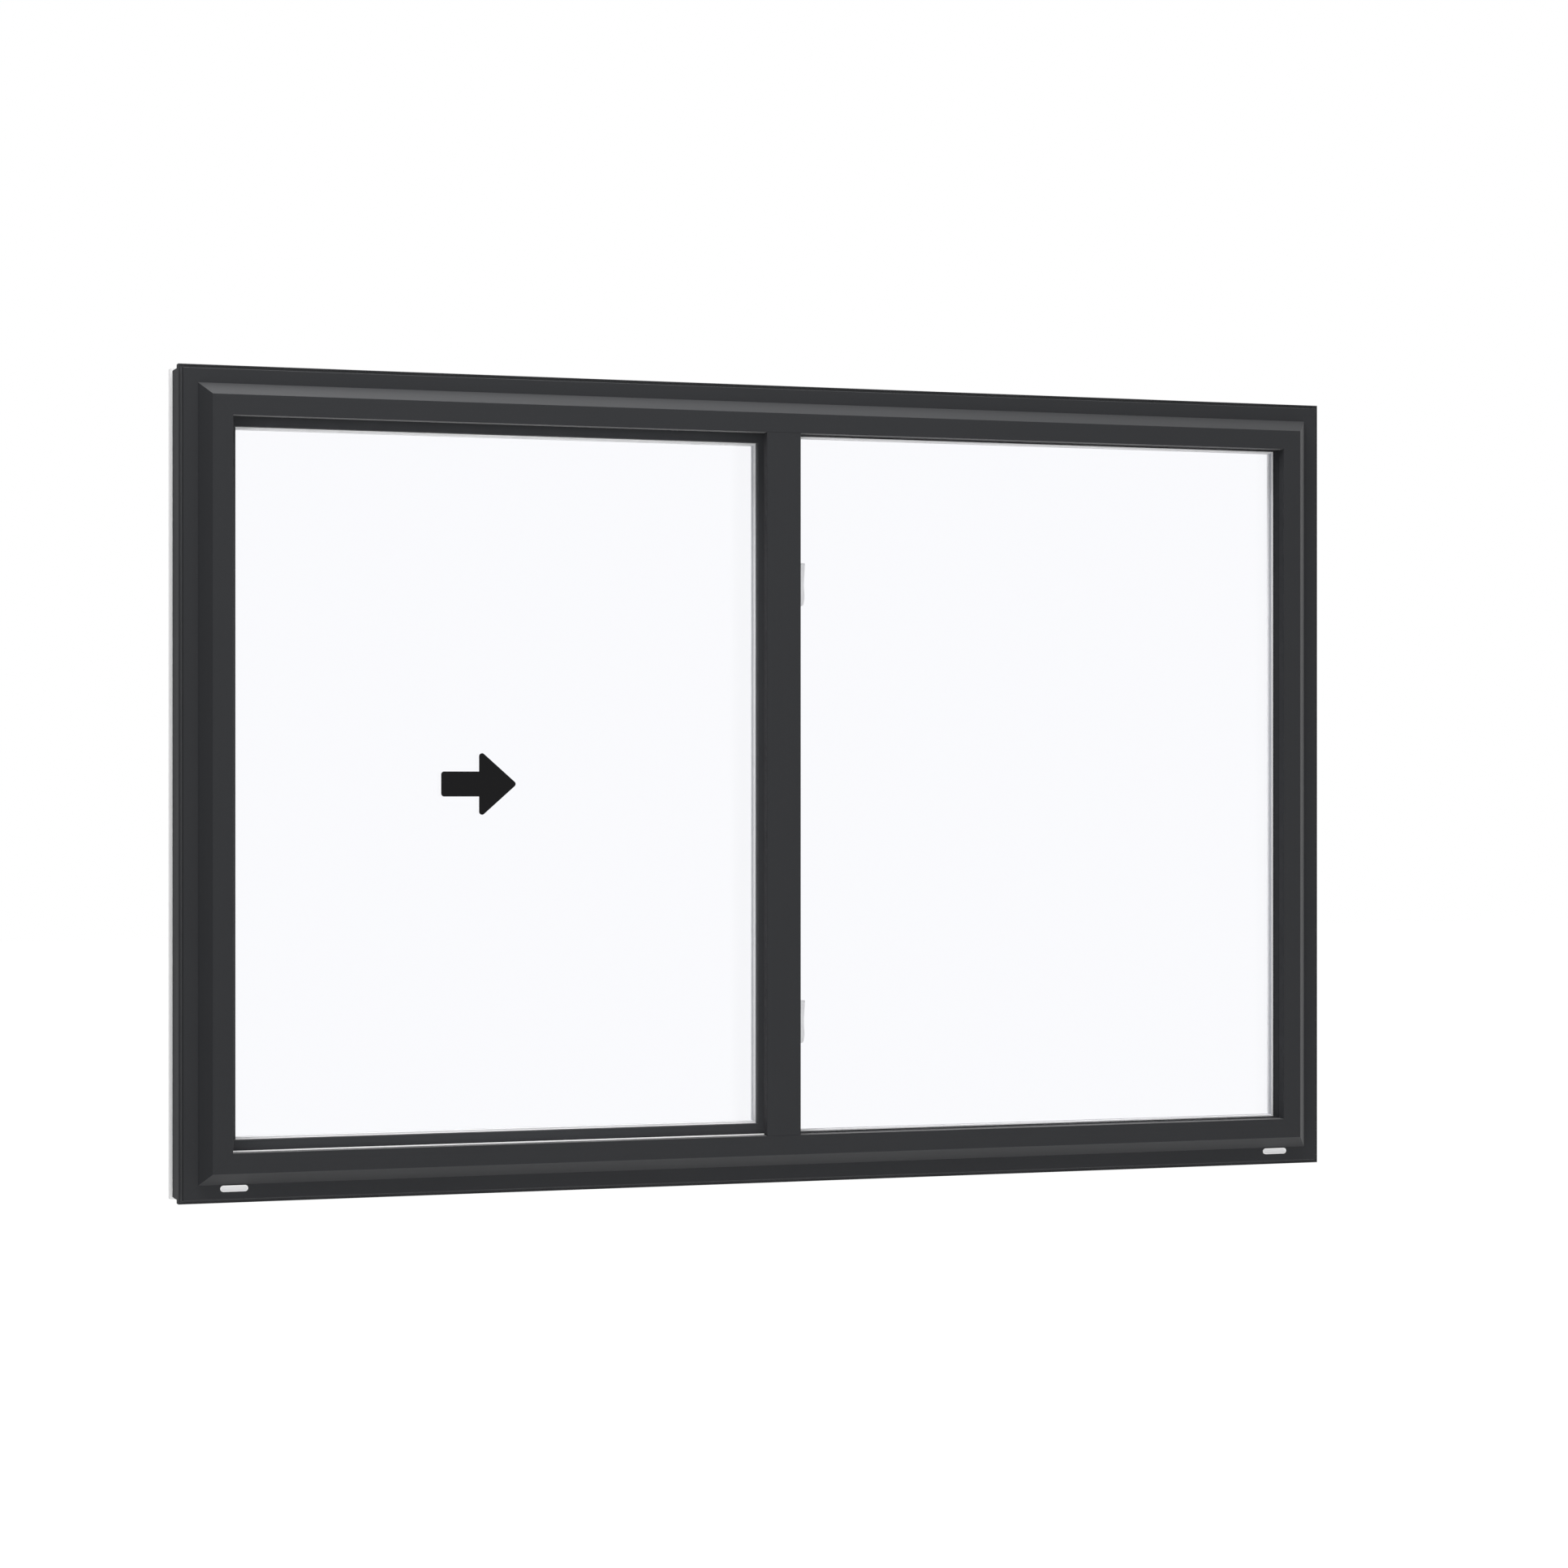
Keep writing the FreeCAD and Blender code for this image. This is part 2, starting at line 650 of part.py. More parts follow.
def sash_interior(side):
    """The white room-side half of a sash rail or stile."""
    unit_edge = SASH_FACE_WIDTH - GLASS_BITE
    front_corners = [
        (0, SASH_GLASS_DEPTH),
        (unit_edge, SASH_GLASS_DEPTH),
        (unit_edge, BEAD_LINE),
        (BEAD_SEAT, BEAD_LINE),
        (BEAD_SEAT, SASH_BACK, EDGE_RADIUS),
    ]
    grip = grip_corners() if side == "left" else []
    outline = front_corners + grip + [(0, SASH_BACK, EDGE_RADIUS)]
    low, high, front, back = roller_chamber()
    chambers = [
        box_outline(low, high, front, back),
        box_outline(high + WALL, unit_edge - WALL, front, back),
        box_outline(WALL, BEAD_SEAT - WALL, BEAD_LINE, SASH_BACK - WALL),
    ]
    bar = ring_member(side, SASH, outline, chambers)
    if side == "sill":
        for centre in roller_centres():
            slot = block(
                centre - HOUSING_LENGTH / 2,
                centre + HOUSING_LENGTH / 2,
                front,
                back,
                SASH.bottom - WALL,
                SASH.bottom + 2 * WALL,
            )
            bar = bar.cut(slot)
    return bar


def sash_bead(side):
    """The white bevelled bead around the sash glass."""
    nose = SASH_FACE_WIDTH + SPACER_SIGHT - EDGE_RADIUS
    outline = [
        (BEAD_SEAT, BEAD_LINE),
        (nose, BEAD_LINE),
        (nose, BEAD_LINE + BEAD_NOSE),
        (SASH_FACE_WIDTH - PANE, SASH_BACK, EDGE_RADIUS),
        (BEAD_SEAT, SASH_BACK),
    ]
    return ring_member(side, SASH, outline)


def roller_centres():
    """X of the two rollers under the sash."""
    return (SASH.left + ROLLER_FROM_SASH_END, SASH.right - ROLLER_FROM_SASH_END)


def roller_track():
    """The aluminium rail on the pocket floor, with a rounded rib for the wheels."""
    base = POCKET_FLOOR + TRACK_BASE_HEIGHT
    rib_top = POCKET_FLOOR + TRACK_RIB_HEIGHT
    half_rib = TRACK_RIB_WIDTH / 2
    half_base = TRACK_BASE_WIDTH / 2
    outline = [
        (POCKET_FLOOR, ROLLER_DEPTH - half_base),
        (base, ROLLER_DEPTH - half_base),
        (base, ROLLER_DEPTH - half_rib),
        (rib_top, ROLLER_DEPTH - half_rib, TRACK_RIB_ROUND),
        (rib_top, ROLLER_DEPTH + half_rib, TRACK_RIB_ROUND),
        (base, ROLLER_DEPTH + half_rib),
        (base, ROLLER_DEPTH + half_base),
        (POCKET_FLOOR, ROLLER_DEPTH + half_base),
    ]
    start = FRAME.left + POCKET_FLOOR

    def to_space(inset, depth):
        return Vector(start, at_depth(depth), FRAME.bottom + inset)

    run = Vector(FRAME.right - POCKET_FLOOR - start, 0, 0)
    return profile_face(outline, [], to_space).extrude(run)


def axle_height():
    """Z of the roller axles, with the wheels standing on the rib."""
    return FRAME.bottom + POCKET_FLOOR + TRACK_RIB_HEIGHT + WHEEL_RADIUS


def roller_wheel(centre_x):
    """A grooved wheel that runs on the rib."""
    height = axle_height()
    half = WHEEL_WIDTH / 2
    groove = TRACK_RIB_WIDTH / 2 + AXLE_CLEARANCE
    bore = AXLE_RADIUS + AXLE_CLEARANCE
    rim = WHEEL_RADIUS + WHEEL_FLANGE
    section = [
        (bore, -half),
        (rim, -half),
        (rim, -groove - AXLE_CLEARANCE),
        (WHEEL_RADIUS, -groove),
        (WHEEL_RADIUS, groove),
        (rim, groove + AXLE_CLEARANCE),
        (rim, half),
        (bore, half),
    ]
    points = [Vector(centre_x + radius, at_depth(ROLLER_DEPTH + y), height) for radius, y in section]
    face = Part.Face(Part.makePolygon(points + points[:1]))
    return face.revolve(Vector(centre_x, 0, height), Vector(0, 1, 0), 360)


def roller_housing(centre_x):
    """The bracket in the bottom rail that carries a wheel on its axle."""
    front, back = roller_chamber()[2:]
    bottom = SASH.bottom
    top = SASH.bottom + WALL + HOUSING_HEIGHT
    x_low = centre_x - HOUSING_LENGTH / 2
    x_high = centre_x + HOUSING_LENGTH / 2
    shell = block(x_low, x_high, front, back, bottom, top)
    hollow = block(
        x_low, x_high, front + HOUSING_WALL, back - HOUSING_WALL, bottom - WALL, top - HOUSING_WALL
    )
    axle_start = Vector(centre_x, at_depth(front), axle_height())
    axle = Part.makeCylinder(AXLE_RADIUS, back - front, axle_start, Vector(0, 1, 0))
    return shell.cut(hollow).fuse(axle).removeSplitter()


def head_guide(centre_x):
    """A block on the top rail that keeps the sash upright in the head."""
    return block(
        centre_x - GUIDE_LENGTH / 2,
        centre_x + GUIDE_LENGTH / 2,
        SASH_FRONT + WALL,
        SASH_BACK - WALL,
        SASH.top,
        FRAME.top - POCKET_FLOOR - GUIDE_CLEARANCE,
    )


def pile_strips():
    """Brush strips on the track fin, at head, sill and left jamb."""
    high = TRACK_FIN_TOP - WALL
    low = high - PILE_WIDTH
    brush_back = SASH_FRONT - PILE_GAP

    def strip(x_low, x_high, z_low, z_high):
        return block(x_low, x_high, TRACK_FIN_BACK, brush_back, z_low, z_high)

    left = FRAME.left + TRACK_FIN_TOP
    bottom = FRAME.bottom + TRACK_FIN_TOP
    top = FRAME.top - TRACK_FIN_TOP
    return [
        strip(left, SASH.right, FRAME.bottom + low, FRAME.bottom + high),
        strip(left, SASH.right, FRAME.top - high, FRAME.top - low),
        strip(FRAME.left + low, FRAME.left + high, bottom, top),
    ]


def weep_centres():
    """X of the two drain covers."""
    from_middle = FRAME_WIDTH / 2 - WEEP_FROM_SIDE
    return (-from_middle, from_middle)


def weep_plate(length, height, thickness, centre_x, back_depth):
    """An oblong plate on the outside of the sill, which stands out from a depth."""

    def to_space(along, up):
        return Vector(centre_x + along, at_depth(back_depth), FRAME.bottom + WEEP_INSET + up)

    return round_ended(length, height, to_space, Vector(0, -thickness, 0))


def weep_slot(centre_x):
    """The slot through the front wall of the sill that the cover hides."""
    depth = WALL - STEP_PROUD
    return weep_plate(WEEP_SLOT_LENGTH, WEEP_SLOT_HEIGHT, WALL, centre_x, depth)


def weep_cover(centre_x):
    """An oblong drain cover with a rim and a sunk flap."""
    plate = weep_plate(WEEP_LENGTH, WEEP_HEIGHT, WEEP_PROUD, centre_x, -STEP_PROUD)
    flap_depth = WEEP_RECESS - WEEP_PROUD - STEP_PROUD
    flap_length = WEEP_LENGTH - 2 * WEEP_RIM
    flap_height = WEEP_HEIGHT - 2 * WEEP_RIM
    return plate.cut(weep_plate(flap_length, flap_height, WEEP_PROUD, centre_x, flap_depth))


def lock_case(centre_z):
    """The lock's case and cam tongue, on the edge of the sash's meeting stile."""

    def to_space(along, across):
        return Vector(SASH.right, at_depth(LOCK_CENTRE_DEPTH) + across, centre_z + along)

    case = round_ended(LOCK_LENGTH, LOCK_WIDTH, to_space, Vector(LOCK_CASE_THICKNESS, 0, 0))
    case = rounded_outer_edges(case, SASH.right + LOCK_CASE_THICKNESS / 2, LOCK_EDGE_RADIUS)
    tongue = block(
        SASH.right,
        SASH.right + TONGUE_WIDTH,
        TRACK_FIN_FACE + KEEPER_PLATE + PILE_GAP,
        LOCK_CENTRE_DEPTH,
        centre_z - TONGUE_LENGTH / 2,
        centre_z + TONGUE_LENGTH / 2,
    )
    return case.fuse(tongue).removeSplitter()


def lock_lever(centre_z):
    """The sweep lever on its hub: a thick top, a waist to press on and a round tail."""
    x_start = SASH.right + LOCK_CASE_THICKNESS
    x_lever = x_start + LOCK_HUB_HEIGHT
    y = at_depth(LOCK_CENTRE_DEPTH)
    hub = Part.makeCylinder(
        LOCK_HUB_RADIUS, LOCK_HUB_HEIGHT, Vector(x_start, y, centre_z), Vector(1, 0, 0)
    )
    half = LEVER_LENGTH / 2
    outline = [
        (0, -half, LOCK_EDGE_RADIUS),
        (LEVER_END_THICKNESS, -half, LEVER_END_RADIUS),
        (LEVER_TAIL_THICKNESS, -LEVER_TAIL_DROP, LEVER_TAIL_BEND),
        (LEVER_WAIST_THICKNESS, 0, LEVER_WAIST_BEND),
        (LEVER_TOP_THICKNESS, half, LOCK_EDGE_RADIUS),
        (0, half, LOCK_EDGE_RADIUS),
    ]

    def to_space(out, along):
        return Vector(x_lever + out, y - LEVER_WIDTH / 2, centre_z + along)

    lever = Part.Face(closed_wire(outline, to_space)).extrude(Vector(0, LEVER_WIDTH, 0))
    lever = rounded_outer_edges(lever, x_lever + LEVER_WAIST_THICKNESS / 2, LEVER_EDGE_RADIUS)
    return hub.fuse(lever).removeSplitter()


def lock_keeper(centre_z):
    """The strike on the fixed stile that the cam tongue drops behind."""
    tongue_right = SASH.right + TONGUE_WIDTH + KEEPER_CLEARANCE
    right = tongue_right + KEEPER_WALL
    z_low = centre_z - KEEPER_LENGTH / 2
    z_high = centre_z + KEEPER_LENGTH / 2
    left = STILE_RIGHT + SPACER_SIGHT - KEEPER_FOOT
    plate_back = TRACK_FIN_FACE + KEEPER_PLATE
    plate = block(left, right, TRACK_FIN_FACE, plate_back, z_low, z_high)
    wall = block(tongue_right, right, TRACK_FIN_FACE, TRACK_FIN_FACE + KEEPER_RISE, z_low, z_high)
    return plate.fuse(wall).removeSplitter()


def build():
    """Every node of the window by name, each a list of its solids."""
    nodes = {}
    names = {
        "head": "head",
        "sill": "sill",
        "left": "left_jamb",
        "right": "right_jamb",
    }
    sash_names = {
        "head": "top_rail",
        "sill": "bottom_rail",
        "left": "pull_stile",
        "right": "meeting_stile",
    }
    exterior = {side: frame_exterior(side) for side in SIDES}
    for side in SIDES:
        nodes["frame_" + names[side] + "_exterior"] = [exterior[side]]
        nodes["frame_" + names[side] + "_interior"] = [frame_interior(side)]
    for side in ("head", "sill", "right"):
        nodes["fixed_stop_" + names[side]] = [fixed_stop(side)]
        nodes["fixed_bead_" + names[side]] = [fixed_bead(side)]
    nodes["sill_channel_cover"] = [sill_channel_cover()]
    nodes["fixed_stile_exterior"] = [fixed_stile_exterior(exterior["head"], exterior["sill"])]
    nodes["fixed_stile_interior"] = [fixed_stile_interior()]
    outer, inner, spacer = fixed_glass()
    nodes["fixed_glass_outer"] = [outer]
    nodes["fixed_glass_inner"] = [inner]
    nodes["fixed_glass_spacer"] = [spacer]
    for side in SIDES:
        nodes["sash_" + sash_names[side] + "_exterior"] = [sash_exterior(side)]
        nodes["sash_" + sash_names[side] + "_interior"] = [sash_interior(side)]
        nodes["sash_" + sash_names[side] + "_bead"] = [sash_bead(side)]
    outer, inner, spacer = sash_glass()
    nodes["sash_glass_outer"] = [outer]
    nodes["sash_glass_inner"] = [inner]
    nodes["sash_glass_spacer"] = [spacer]
    nodes["sash_interlock"] = [sash_interlock()]
    nodes["roller_track"] = [roller_track()]
    nodes["roller_wheels"] = [roller_wheel(x) for x in roller_centres()]
    nodes["roller_housings"] = [roller_housing(x) for x in roller_centres()]
    nodes["sash_head_guides"] = [head_guide(x) for x in roller_centres()]
    nodes["pile_strips"] = pile_strips()
    nodes["weep_covers"] = [weep_cover(x) for x in weep_centres()]
    nodes["lock_cases"] = [lock_case(z) for z in LOCK_HEIGHTS]
    nodes["lock_levers"] = [lock_lever(z) for z in LOCK_HEIGHTS]
    nodes["lock_keepers"] = [lock_keeper(z) for z in LOCK_HEIGHTS]
    return nodes


os.makedirs("parts", exist_ok=True)
for name, solids in build().items():
    shape = solids[0] if len(solids) == 1 else Part.makeCompound(solids)
    shape.exportStep("parts/" + name + ".step")
    litres = round(shape.Volume / 1e6, 4)
    print(name, "solids", len(shape.Solids), "valid", shape.isValid(), "litres", litres)
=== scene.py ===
"""Finishes, small fittings, studio and camera for a horizontal sliding window.

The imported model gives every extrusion, pane and fitting its shape and place. This file dresses
those parts, adds what is too thin or too small for them, and sets the light and the camera.
All lengths are in metres, in the frame of the model: X to the right seen from outside, Y towards
the room, Z up.
"""

from __future__ import annotations

import logging
import math
from dataclasses import dataclass, replace
from enum import Enum
from functools import cache
from typing import Mapping, Sequence

import bmesh
import bpy
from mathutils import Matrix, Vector

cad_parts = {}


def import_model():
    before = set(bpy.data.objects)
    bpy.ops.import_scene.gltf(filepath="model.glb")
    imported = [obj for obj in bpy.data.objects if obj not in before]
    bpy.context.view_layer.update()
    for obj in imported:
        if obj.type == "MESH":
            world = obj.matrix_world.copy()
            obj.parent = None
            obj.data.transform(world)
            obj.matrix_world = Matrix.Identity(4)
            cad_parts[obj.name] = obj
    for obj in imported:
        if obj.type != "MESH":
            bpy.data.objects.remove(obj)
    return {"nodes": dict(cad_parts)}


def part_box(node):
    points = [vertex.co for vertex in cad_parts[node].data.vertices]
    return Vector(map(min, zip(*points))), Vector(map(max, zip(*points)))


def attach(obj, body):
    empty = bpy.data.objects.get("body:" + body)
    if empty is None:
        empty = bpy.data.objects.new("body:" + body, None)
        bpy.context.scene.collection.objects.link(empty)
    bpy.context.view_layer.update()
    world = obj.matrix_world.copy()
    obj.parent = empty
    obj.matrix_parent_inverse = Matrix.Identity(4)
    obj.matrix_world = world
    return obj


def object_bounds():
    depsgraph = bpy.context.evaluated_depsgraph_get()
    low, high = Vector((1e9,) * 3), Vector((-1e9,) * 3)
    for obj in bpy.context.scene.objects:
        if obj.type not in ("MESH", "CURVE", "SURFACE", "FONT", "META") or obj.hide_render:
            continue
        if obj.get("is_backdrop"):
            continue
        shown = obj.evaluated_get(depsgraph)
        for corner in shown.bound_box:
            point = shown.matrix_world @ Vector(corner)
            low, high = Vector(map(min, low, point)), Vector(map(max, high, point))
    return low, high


LOG = logging.getLogger("sliding_window")
MM = 0.001
BODY = "root"

# How far the outer flange stands back from the moulding's face.
FLANGE_TO_FACE = 29.0 * MM

# Over what depth a colour that starts at an edge fades in.
EDGE_SOFTNESS = 0.1 * MM

# The level that a noise varies around.
NOISE_MIDDLE = 0.5

# The colour sockets of a Mix node, which shares their names with sockets of other kinds.
MIX_SHARE = 0
MIX_FIRST = 6
MIX_SECOND = 7
MIX_RESULT = 2

Colour = tuple[float, float, float]
Flat = tuple[float, float]
Point = tuple[float, float, float]
Build = bmesh.types.BMesh
Vertex = bmesh.types.BMVert
Node = bpy.types.Object


def srgb(red: float, green: float, blue: float) -> Colour:
    """Turn a display colour of 0 to 255 into linear light.

    Args:
        red: Red as a display shows it.
        green: Green as a display shows it.
        blue: Blue as a display shows it.

    Returns:
        The same colour in linear light, 0 to 1.
    """

    def linear(level: float) -> float:
        """Undo the display curve for one channel."""
        share = level / 255
        return share / 12.92 if share <= 0.04045 else ((share + 0.055) / 1.055) ** 2.4

    return linear(red), linear(green), linear(blue)


class Run(Enum):
    """Which way an extrusion runs."""

    ACROSS = "across"
    UPRIGHT = "upright"


class Signal:
    """A shader socket that can stand in a Python expression."""

    def __init__(self, graph: "Graph", socket: bpy.types.NodeSocket) -> None:
        """Keep the socket and the graph that new nodes go to."""
        self.graph = graph
        self.socket = socket

    def math(self, operation: str, *others: "Number") -> "Signal":
        """Add a Math node that starts from this signal.

        Args:
            operation: The Math node's operation.
            others: The further values or signals.

        Returns:
            The node's result.
        """
        values = dict(enumerate((self, *others)))
        return self.graph.add("ShaderNodeMath", {"operation": operation}, values)

    def __add__(self, other: "Number") -> "Signal":
        """Sum of two signals."""
        return self.math("ADD", other)

    def __radd__(self, other: float) -> "Signal":
        """Sum with a plain number on the left."""
        return self.math("ADD", other)

    def __sub__(self, other: "Number") -> "Signal":
        """Difference of two signals."""
        return self.math("SUBTRACT", other)

    def __rsub__(self, other: float) -> "Signal":
        """A plain number less this signal."""
        return self.math("MULTIPLY_ADD", -1.0, other)

    def __mul__(self, other: "Number") -> "Signal":
        """Product of two signals."""
        return self.math("MULTIPLY", other)

    def __rmul__(self, other: float) -> "Signal":
        """Product with a plain number on the left."""
        return self.math("MULTIPLY", other)

    def __abs__(self) -> "Signal":
        """The signal without its sign."""
        return self.math("ABSOLUTE")

    def below(self, limit: float, softness: float) -> "Signal":
        """A mask that is 1 under a limit and falls to 0 past it.

        Args:
            limit: Where the mask starts to fall.
            softness: How far it takes to reach 0.

        Returns:
            The mask, 0 to 1.
        """
        settings = {"clamp": True, "interpolation_type": "SMOOTHSTEP"}
        inputs = {
            "Value": self,
            "From Min": limit,
            "From Max": limit + softness,
            "To Min": 1.0,
            "To Max": 0.0,
        }
        return self.graph.add("ShaderNodeMapRange", settings, inputs)


Number = float | Signal


@dataclass(frozen=True)
class Grain:
    """How fine a noise is: features to the metre, and octaves."""

    scale: float
    detail: float


class Graph:
    """The node tree of one material or of the world."""

    def __init__(self, tree: bpy.types.NodeTree) -> None:
        """Empty the tree and take it over."""
        self.tree = tree
        self.tree.nodes.clear()

    def add(
        self,
        kind: str,
        settings: Mapping[str, object] | None = None,
        inputs: Mapping[int | str, object] | None = None,
        output: int | str = 0,
    ) -> Signal:
        """Add one node.

        Args:
            kind: The node's type.
            settings: Its properties, such as a Math node's operation, set before the sockets.
            inputs: Values or signals by socket.
            output: The socket that the returned signal stands for.

        Returns:
            The chosen output.
        """
        node = self.tree.nodes.new(kind)
        for name, value in (settings or {}).items():
            setattr(node, name, value)
        for key, value in (inputs or {}).items():
            self.feed(node.inputs[key], value)
        return Signal(self, node.outputs[output])

    def feed(self, socket: bpy.types.NodeSocket, value: object) -> None:
        """Link a signal to a socket, or set the socket's own value.

        Args:
            socket: The input to feed.
            value: A signal, a number, a vector or a colour.
        """
        if isinstance(value, Signal):
            self.tree.links.new(value.socket, socket)
        elif socket.type == "RGBA":
            socket.default_value = (*value, 1.0)
        else:
            socket.default_value = value

    def mix_colour(self, share: Number, first: object, second: object) -> Signal:
        """Blend two colours.

        Args:
            share: How much of the second colour shows.
            first: A colour or a signal.
            second: A colour or a signal.

        Returns:
            The blended colour.
        """
        inputs = {MIX_SHARE: share, MIX_FIRST: first, MIX_SECOND: second}
        return self.add("ShaderNodeMix", {"data_type": "RGBA"}, inputs, MIX_RESULT)

    def place(self) -> Signal:
        """Where a point lies in the model's frame."""
        return self.add("ShaderNodeTexCoord", output="Object")

    def facing(self) -> Signal:
        """Which way the surface faces in the model's frame."""
        return self.add("ShaderNodeTexCoord", output="Normal")

    def axes(self, vector: Signal) -> tuple[Signal, Signal, Signal]:
        """The three parts of a vector.

        Args:
            vector: The vector to take apart.

        Returns:
            Its X, Y and Z.
        """
        split = self.add("ShaderNodeSeparateXYZ", inputs={0: vector})
        node = split.socket.node
        return tuple(Signal(self, node.outputs[index]) for index in range(3))

    def scaled(self, vector: Signal, factors: Point) -> Signal:
        """A vector multiplied part by part."""
        operation = {"operation": "MULTIPLY"}
        return self.add("ShaderNodeVectorMath", operation, {0: vector, 1: factors})

    def noise(self, vector: Signal, grain: Grain) -> Signal:
        """Noise of 0 to 1 around one half, sampled along a vector."""
        inputs = {"Vector": vector, "Scale": grain.scale, "Detail": grain.detail}
        return self.add("ShaderNodeTexNoise", inputs=inputs)

    def bump(self, height: Signal, distance: float) -> Signal:
        """A bent normal from a height of 0 to 1, where 1 stands a distance high."""
        inputs = {"Strength": 1.0, "Distance": distance, "Height": height}
        return self.add("ShaderNodeBump", inputs=inputs)

    def finish(self, kind: str, shader: Signal) -> None:
        """End the tree in its output node, which the shader is linked to."""
        node = self.tree.nodes.new(kind)
        self.tree.links.new(shader.socket, node.inputs[0])


def new_material(name: str) -> tuple[bpy.types.Material, Graph]:
    """Start a material.

    Args:
        name: The material's name.

    Returns:
        The material and its empty graph.
    """
    material = bpy.data.materials.new(name)
    material.use_nodes = True
    return material, Graph(material.node_tree)


@dataclass(frozen=True)
class MitreRing:
    """The rectangle whose corners are mitred, for the fine line of each joint."""

    name: str
    centre_x: float
    centre_z: float
    half_width: float
    half_height: float

    @classmethod
    def around(cls, name: str, bottom: str, top: str) -> "MitreRing":
        """Take the ring from the outer edge of mitred members.

        Args:
            name: What the ring is called in its materials' names.
            bottom: The node of the lowest member.
            top: The node of the highest member.

        Returns:
            The ring.
        """
        low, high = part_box(bottom)
        top_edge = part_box(top)[1][2]
        return cls(
            name,
            (low[0] + high[0]) / 2,
            (low[2] + top_edge) / 2,
            (high[0] - low[0]) / 2,
            (top_edge - low[2]) / 2,
        )

    def distance(self, x: Signal, z: Signal) -> Signal:
        """How far a point lies from the nearest mitre plane.

        Args:
            x: The point's X.
            z: The point's Z.

        Returns:
            The distance in metres.
        """
        across = abs(x - self.centre_x)
        upright = abs(z - self.centre_z)
        level_gap = abs(across - upright - (self.half_width - self.half_height))
        return level_gap * math.cos(math.radians(45.0))


@dataclass(frozen=True)
class VinylFinish:
    """Extruded vinyl: faint draw lines along the run, a fine grain and hairline mitres.

    Faces to the left lose gloss and sheen, a painted shade for the side that gets less light, and
    outward faces in the outer channel may take a lighter colour, painted light against the shade
    in it.
    """

    name: str
    colour: Colour
    shade: Colour
    seam: Colour
    roughness: float
    specular: float
    sheen: float = 0.0
    sheen_roughness: float = 0.5
    # Gloss on faces that look to the left, and where that starts: painted shade that keeps the
    # left side darker, as if less light came from there.
    left_shade_specular: float = 0.05
    left_shade_facing: float = -0.9
    left_shade_softness: float = 0.4
    # Painted light: a lighter colour for outward faces in a thin depth band behind the flange,
    # standing in for light that the narrow channel there keeps out.
    groove_painted_light: Colour | None = None
    groove_from: float = 0.0
    groove_step: float = 1.5 * MM
    groove_facing: float = -0.8
    groove_softness: float = 0.2
    lines: Grain = Grain(900.0, 3.0)
    lines_in_colour: float = 0.3
    lines_in_roughness: float = 0.10
    line_height: float = 0.010 * MM
    line_stretch: float = 0.004
    grain: Grain = Grain(2600.0, 2.0)
    grain_height: float = 0.012 * MM
    cloud: Grain = Grain(9.0, 3.0)
    cloud_in_colour: float = 0.5
    cloud_in_roughness: float = 0.08
    seam_width: float = 0.05 * MM

    @cache
    def material(self, run: Run, ring: MitreRing | None) -> bpy.types.Material:
        """Make the material once for one direction and one ring.

        Args:
            run: Which way the extrusion runs.
            ring: The ring whose mitres show, or None.

        Returns:
            The material.
        """
        ring_name = ring.name if ring else "plain"
        material, graph = new_material(f"{self.name}_{run.value}_{ring_name}")
        place = graph.place()
        x, y, z = graph.axes(place)
        facing_x, facing_y, _ = graph.axes(graph.facing())
        along = self.line_stretch
        stretch = (along, 1.0, 1.0) if run is Run.ACROSS else (1.0, 1.0, along)
        lines = graph.noise(graph.scaled(place, stretch), self.lines)
        grain = graph.noise(place, self.grain)
        cloud = graph.noise(place, self.cloud)
        share = cloud * self.cloud_in_colour + lines * self.lines_in_colour
        colour = graph.mix_colour(share, self.colour, self.shade)
        # Painted light in the outer channel: outward faces in the band behind the flange front are
        # lightened against their shade.
        if self.groove_painted_light:
            behind = 1.0 - y.below(self.groove_from, EDGE_SOFTNESS)
            before = y.below(self.groove_from + self.groove_step, EDGE_SOFTNESS)
            outward = facing_y.below(self.groove_facing, self.groove_softness)
            colour = graph.mix_colour(behind * before * outward, colour, self.groove_painted_light)
        roughness = (
            self.roughness
            + (cloud - NOISE_MIDDLE) * self.cloud_in_roughness
            + (lines - NOISE_MIDDLE) * self.lines_in_roughness
        )
        height = lines * (self.line_height / self.grain_height) + grain
        if ring:
            seam = ring.distance(x, z).below(self.seam_width, self.seam_width)
            colour = graph.mix_colour(seam, colour, self.seam)
            height = height - seam
        surface = {
            "Base Color": colour,
            "Roughness": roughness,
            "Normal": graph.bump(height, self.grain_height),
        }
        gloss = {
            "Specular IOR Level": self.specular,
            "Sheen Weight": self.sheen,
            "Sheen Roughness": self.sheen_roughness,
        }
        # Painted shade: faces that look to the left take a copy with less gloss and no sheen, so
        # they stay darker than the light alone leaves them.
        left_shade_gloss = {"Specular IOR Level": self.left_shade_specular}
        satin = graph.add("ShaderNodeBsdfPrincipled", inputs=surface | gloss)
        left_shaded = graph.add("ShaderNodeBsdfPrincipled", inputs=surface | left_shade_gloss)
        left_shade_mask = facing_x.below(self.left_shade_facing, self.left_shade_softness)
        shader = graph.add("ShaderNodeMixShader", inputs={0: left_shade_mask, 1: satin, 2: left_shaded})
        graph.finish("ShaderNodeOutputMaterial", shader)
        return material


